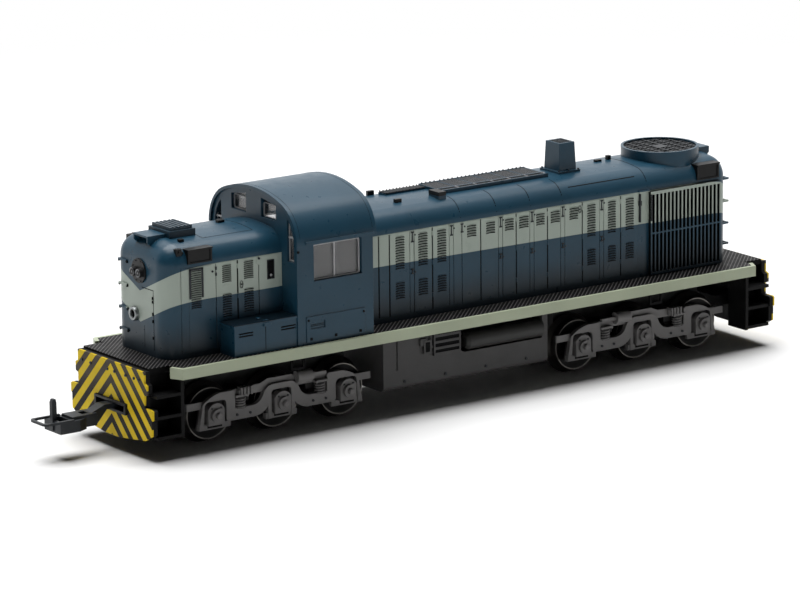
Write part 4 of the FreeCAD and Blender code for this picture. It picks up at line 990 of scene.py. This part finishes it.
# ------------------------------------------------------------------------------ trucks
# turns of a spring and points to a turn
TURNS, TURN_POINTS = 4, 18
for word, end in (("front", 1), ("rear", -1)):
    coils, heads = Build(), Build()
    for side in SIDES:
        for along in (-SPRING, SPRING):
            x = end * TRUCK + along
            turns = circle(TURN_POINTS) * TURNS + [(1.0, 0.0)]
            climb = COIL_HEIGHT / (TURNS * TURN_POINTS)
            coils.tube([(x + COIL * c, side * (SPRING_Y + COIL * s), COIL_FOOT + climb * k)
                        for k, (c, s) in enumerate(turns)], 0.17, 7)
        # bolts under the springs
        for along in (8.3, 11.7, -8.3, -11.7):
            heads.stud(end * TRUCK + along, side * 12.2, 6.1, side, 0.42, 0.3, mark=1)
        # boss and two bolts on each axle box
        for axle in (-1, 0, 1):
            x = end * TRUCK + axle * AXLE_PITCH
            heads.rod((x, side * 14.0, 7.0), (x, side * 14.5, 7.0), 0.7, 16, tip=0.5)
            for along in (-1.2, 1.2):
                heads.stud(x + along, side * 12.9, 8.6, side, 0.3, 0.2, 8, mark=1)
            # opening of the tie bar under the box, painted dark as shade
            heads.box(x - 1.9, x + 1.9, side * 12.1, side * 12.23, 4.15, 4.75, 2)
    coils.make("springs_" + word, "truck_%s_body" % word, ["spring"], smooth=True, slot="truck_grey")
    heads.make("frame_bolts_" + word, "truck_%s_body" % word, ["spring", "iron_and_shade", "slot"], smooth=True,
               slot="truck_grey")

# ------------------------------------------------------------------------------ camera
# fitted to the photograph: its lens, and where it stands round the point that it looks at
camera = bpy.data.cameras.new("camera")
camera.sensor_width = 36.0
camera.lens = 225.7875
camera.clip_start, camera.clip_end = 0.05, 10
eye = bpy.data.objects.new("camera", camera)
scene.collection.objects.link(eye)
azimuth, elevation, roll = (math.radians(angle) for angle in (144.523, 13.481, -0.585))
distance = 1.12244
target = place(9.23, 0.0, 21.54)
back = Vector((math.sin(azimuth) * math.cos(elevation), -math.cos(azimuth) * math.cos(elevation),
               math.sin(elevation)))
right = Vector((0, 0, 1)).cross(back).normalized()
up = back.cross(right)
right, up = right * math.cos(roll) + up * math.sin(roll), up * math.cos(roll) - right * math.sin(roll)
turn = Matrix((right, up, back)).transposed().to_4x4()
eye.matrix_world = Matrix.Translation(target + back * distance) @ turn
scene.camera = eye

# ------------------------------------------------------------------------------ light
# one large soft box overhead, a little behind the model; the white floor lights the sides
box_light = bpy.data.lights.new("soft_box", "AREA")
box_light.shape = "SQUARE"
box_light.size = 1.1
box_light.energy = 27.5
soft_box = bpy.data.objects.new("soft_box", box_light)
soft_box.location = (-0.08, -0.36, 1.15)
soft_box.rotation_euler = (math.radians(-12), 0.0, 0.0)
soft_box.visible_camera = False
scene.collection.objects.link(soft_box)

# what sees the white background: the camera, gloss and glass
SEES_WHITE = ("Camera", "Glossy", "Transmission")
world = bpy.data.worlds.new("studio")
scene.world = world
world.use_nodes = True
sky = Tree(world.node_tree)
# the room in front of the model is dark, so it is not mirrored in the paint
facing = sky.add("VectorMath", sky.add("TexCoord").outputs["Generated"], (0.58, 0.81, 0.0))
facing.operation = "DOT_PRODUCT"
dim = sky.ramp(facing.outputs["Value"], -0.1, 0.3, 0.0, 0.93, "SMOOTHSTEP")
strength = sky.math("SUBTRACT", 1.0, sky.math("MULTIPLY", dim, sky.rays("Glossy")))
faint = sky.add("Background", (1.0, 1.0, 1.0, 1.0), 0.03)
white = sky.add("Background", (1.0, 1.0, 1.0, 1.0), strength)
sky.blend(sky.rays(*SEES_WHITE), faint, white, sky.add("OutputWorld"))

# ------------------------------------------------------------------------------ floor
# it lies a little lower than the wheels and reaches far out of the picture
DROP, SPAN = 0.0002, 3.0
floor_mesh = bpy.data.meshes.new("floor")
floor_mesh.from_pydata([(x * SPAN, y * SPAN, -DROP) for x, y in ((-1, -1), (1, -1), (1, 1), (-1, 1))], [],
                       [(0, 1, 2, 3)])
floor = bpy.data.objects.new("floor", floor_mesh)
scene.collection.objects.link(floor)
ground = Shade("pale_floor")
ground.colour(ground.mix(ground.noise(40.0, 3.0), (0.84, 0.84, 0.84), (0.88, 0.88, 0.88)))
ground.set(Roughness=0.9, Specular_IOR_Level=0.1)
# away from the model the floor is plain white, near it it keeps the shadow
away = ground.add("VectorMath", ground.spot)
away.operation = "LENGTH"
far = ground.ramp(away.outputs["Value"], 0.16, 0.45, kind="SMOOTHSTEP")
glow = ground.add("Emission", (1.0, 1.0, 1.0, 1.0), 1.0)
ground.blend(ground.math("MULTIPLY", far, ground.rays(*SEES_WHITE)), ground.bsdf, glow, ground.out)
floor_mesh.materials.append(ground.mat)

scene.view_settings.view_transform = "Standard"
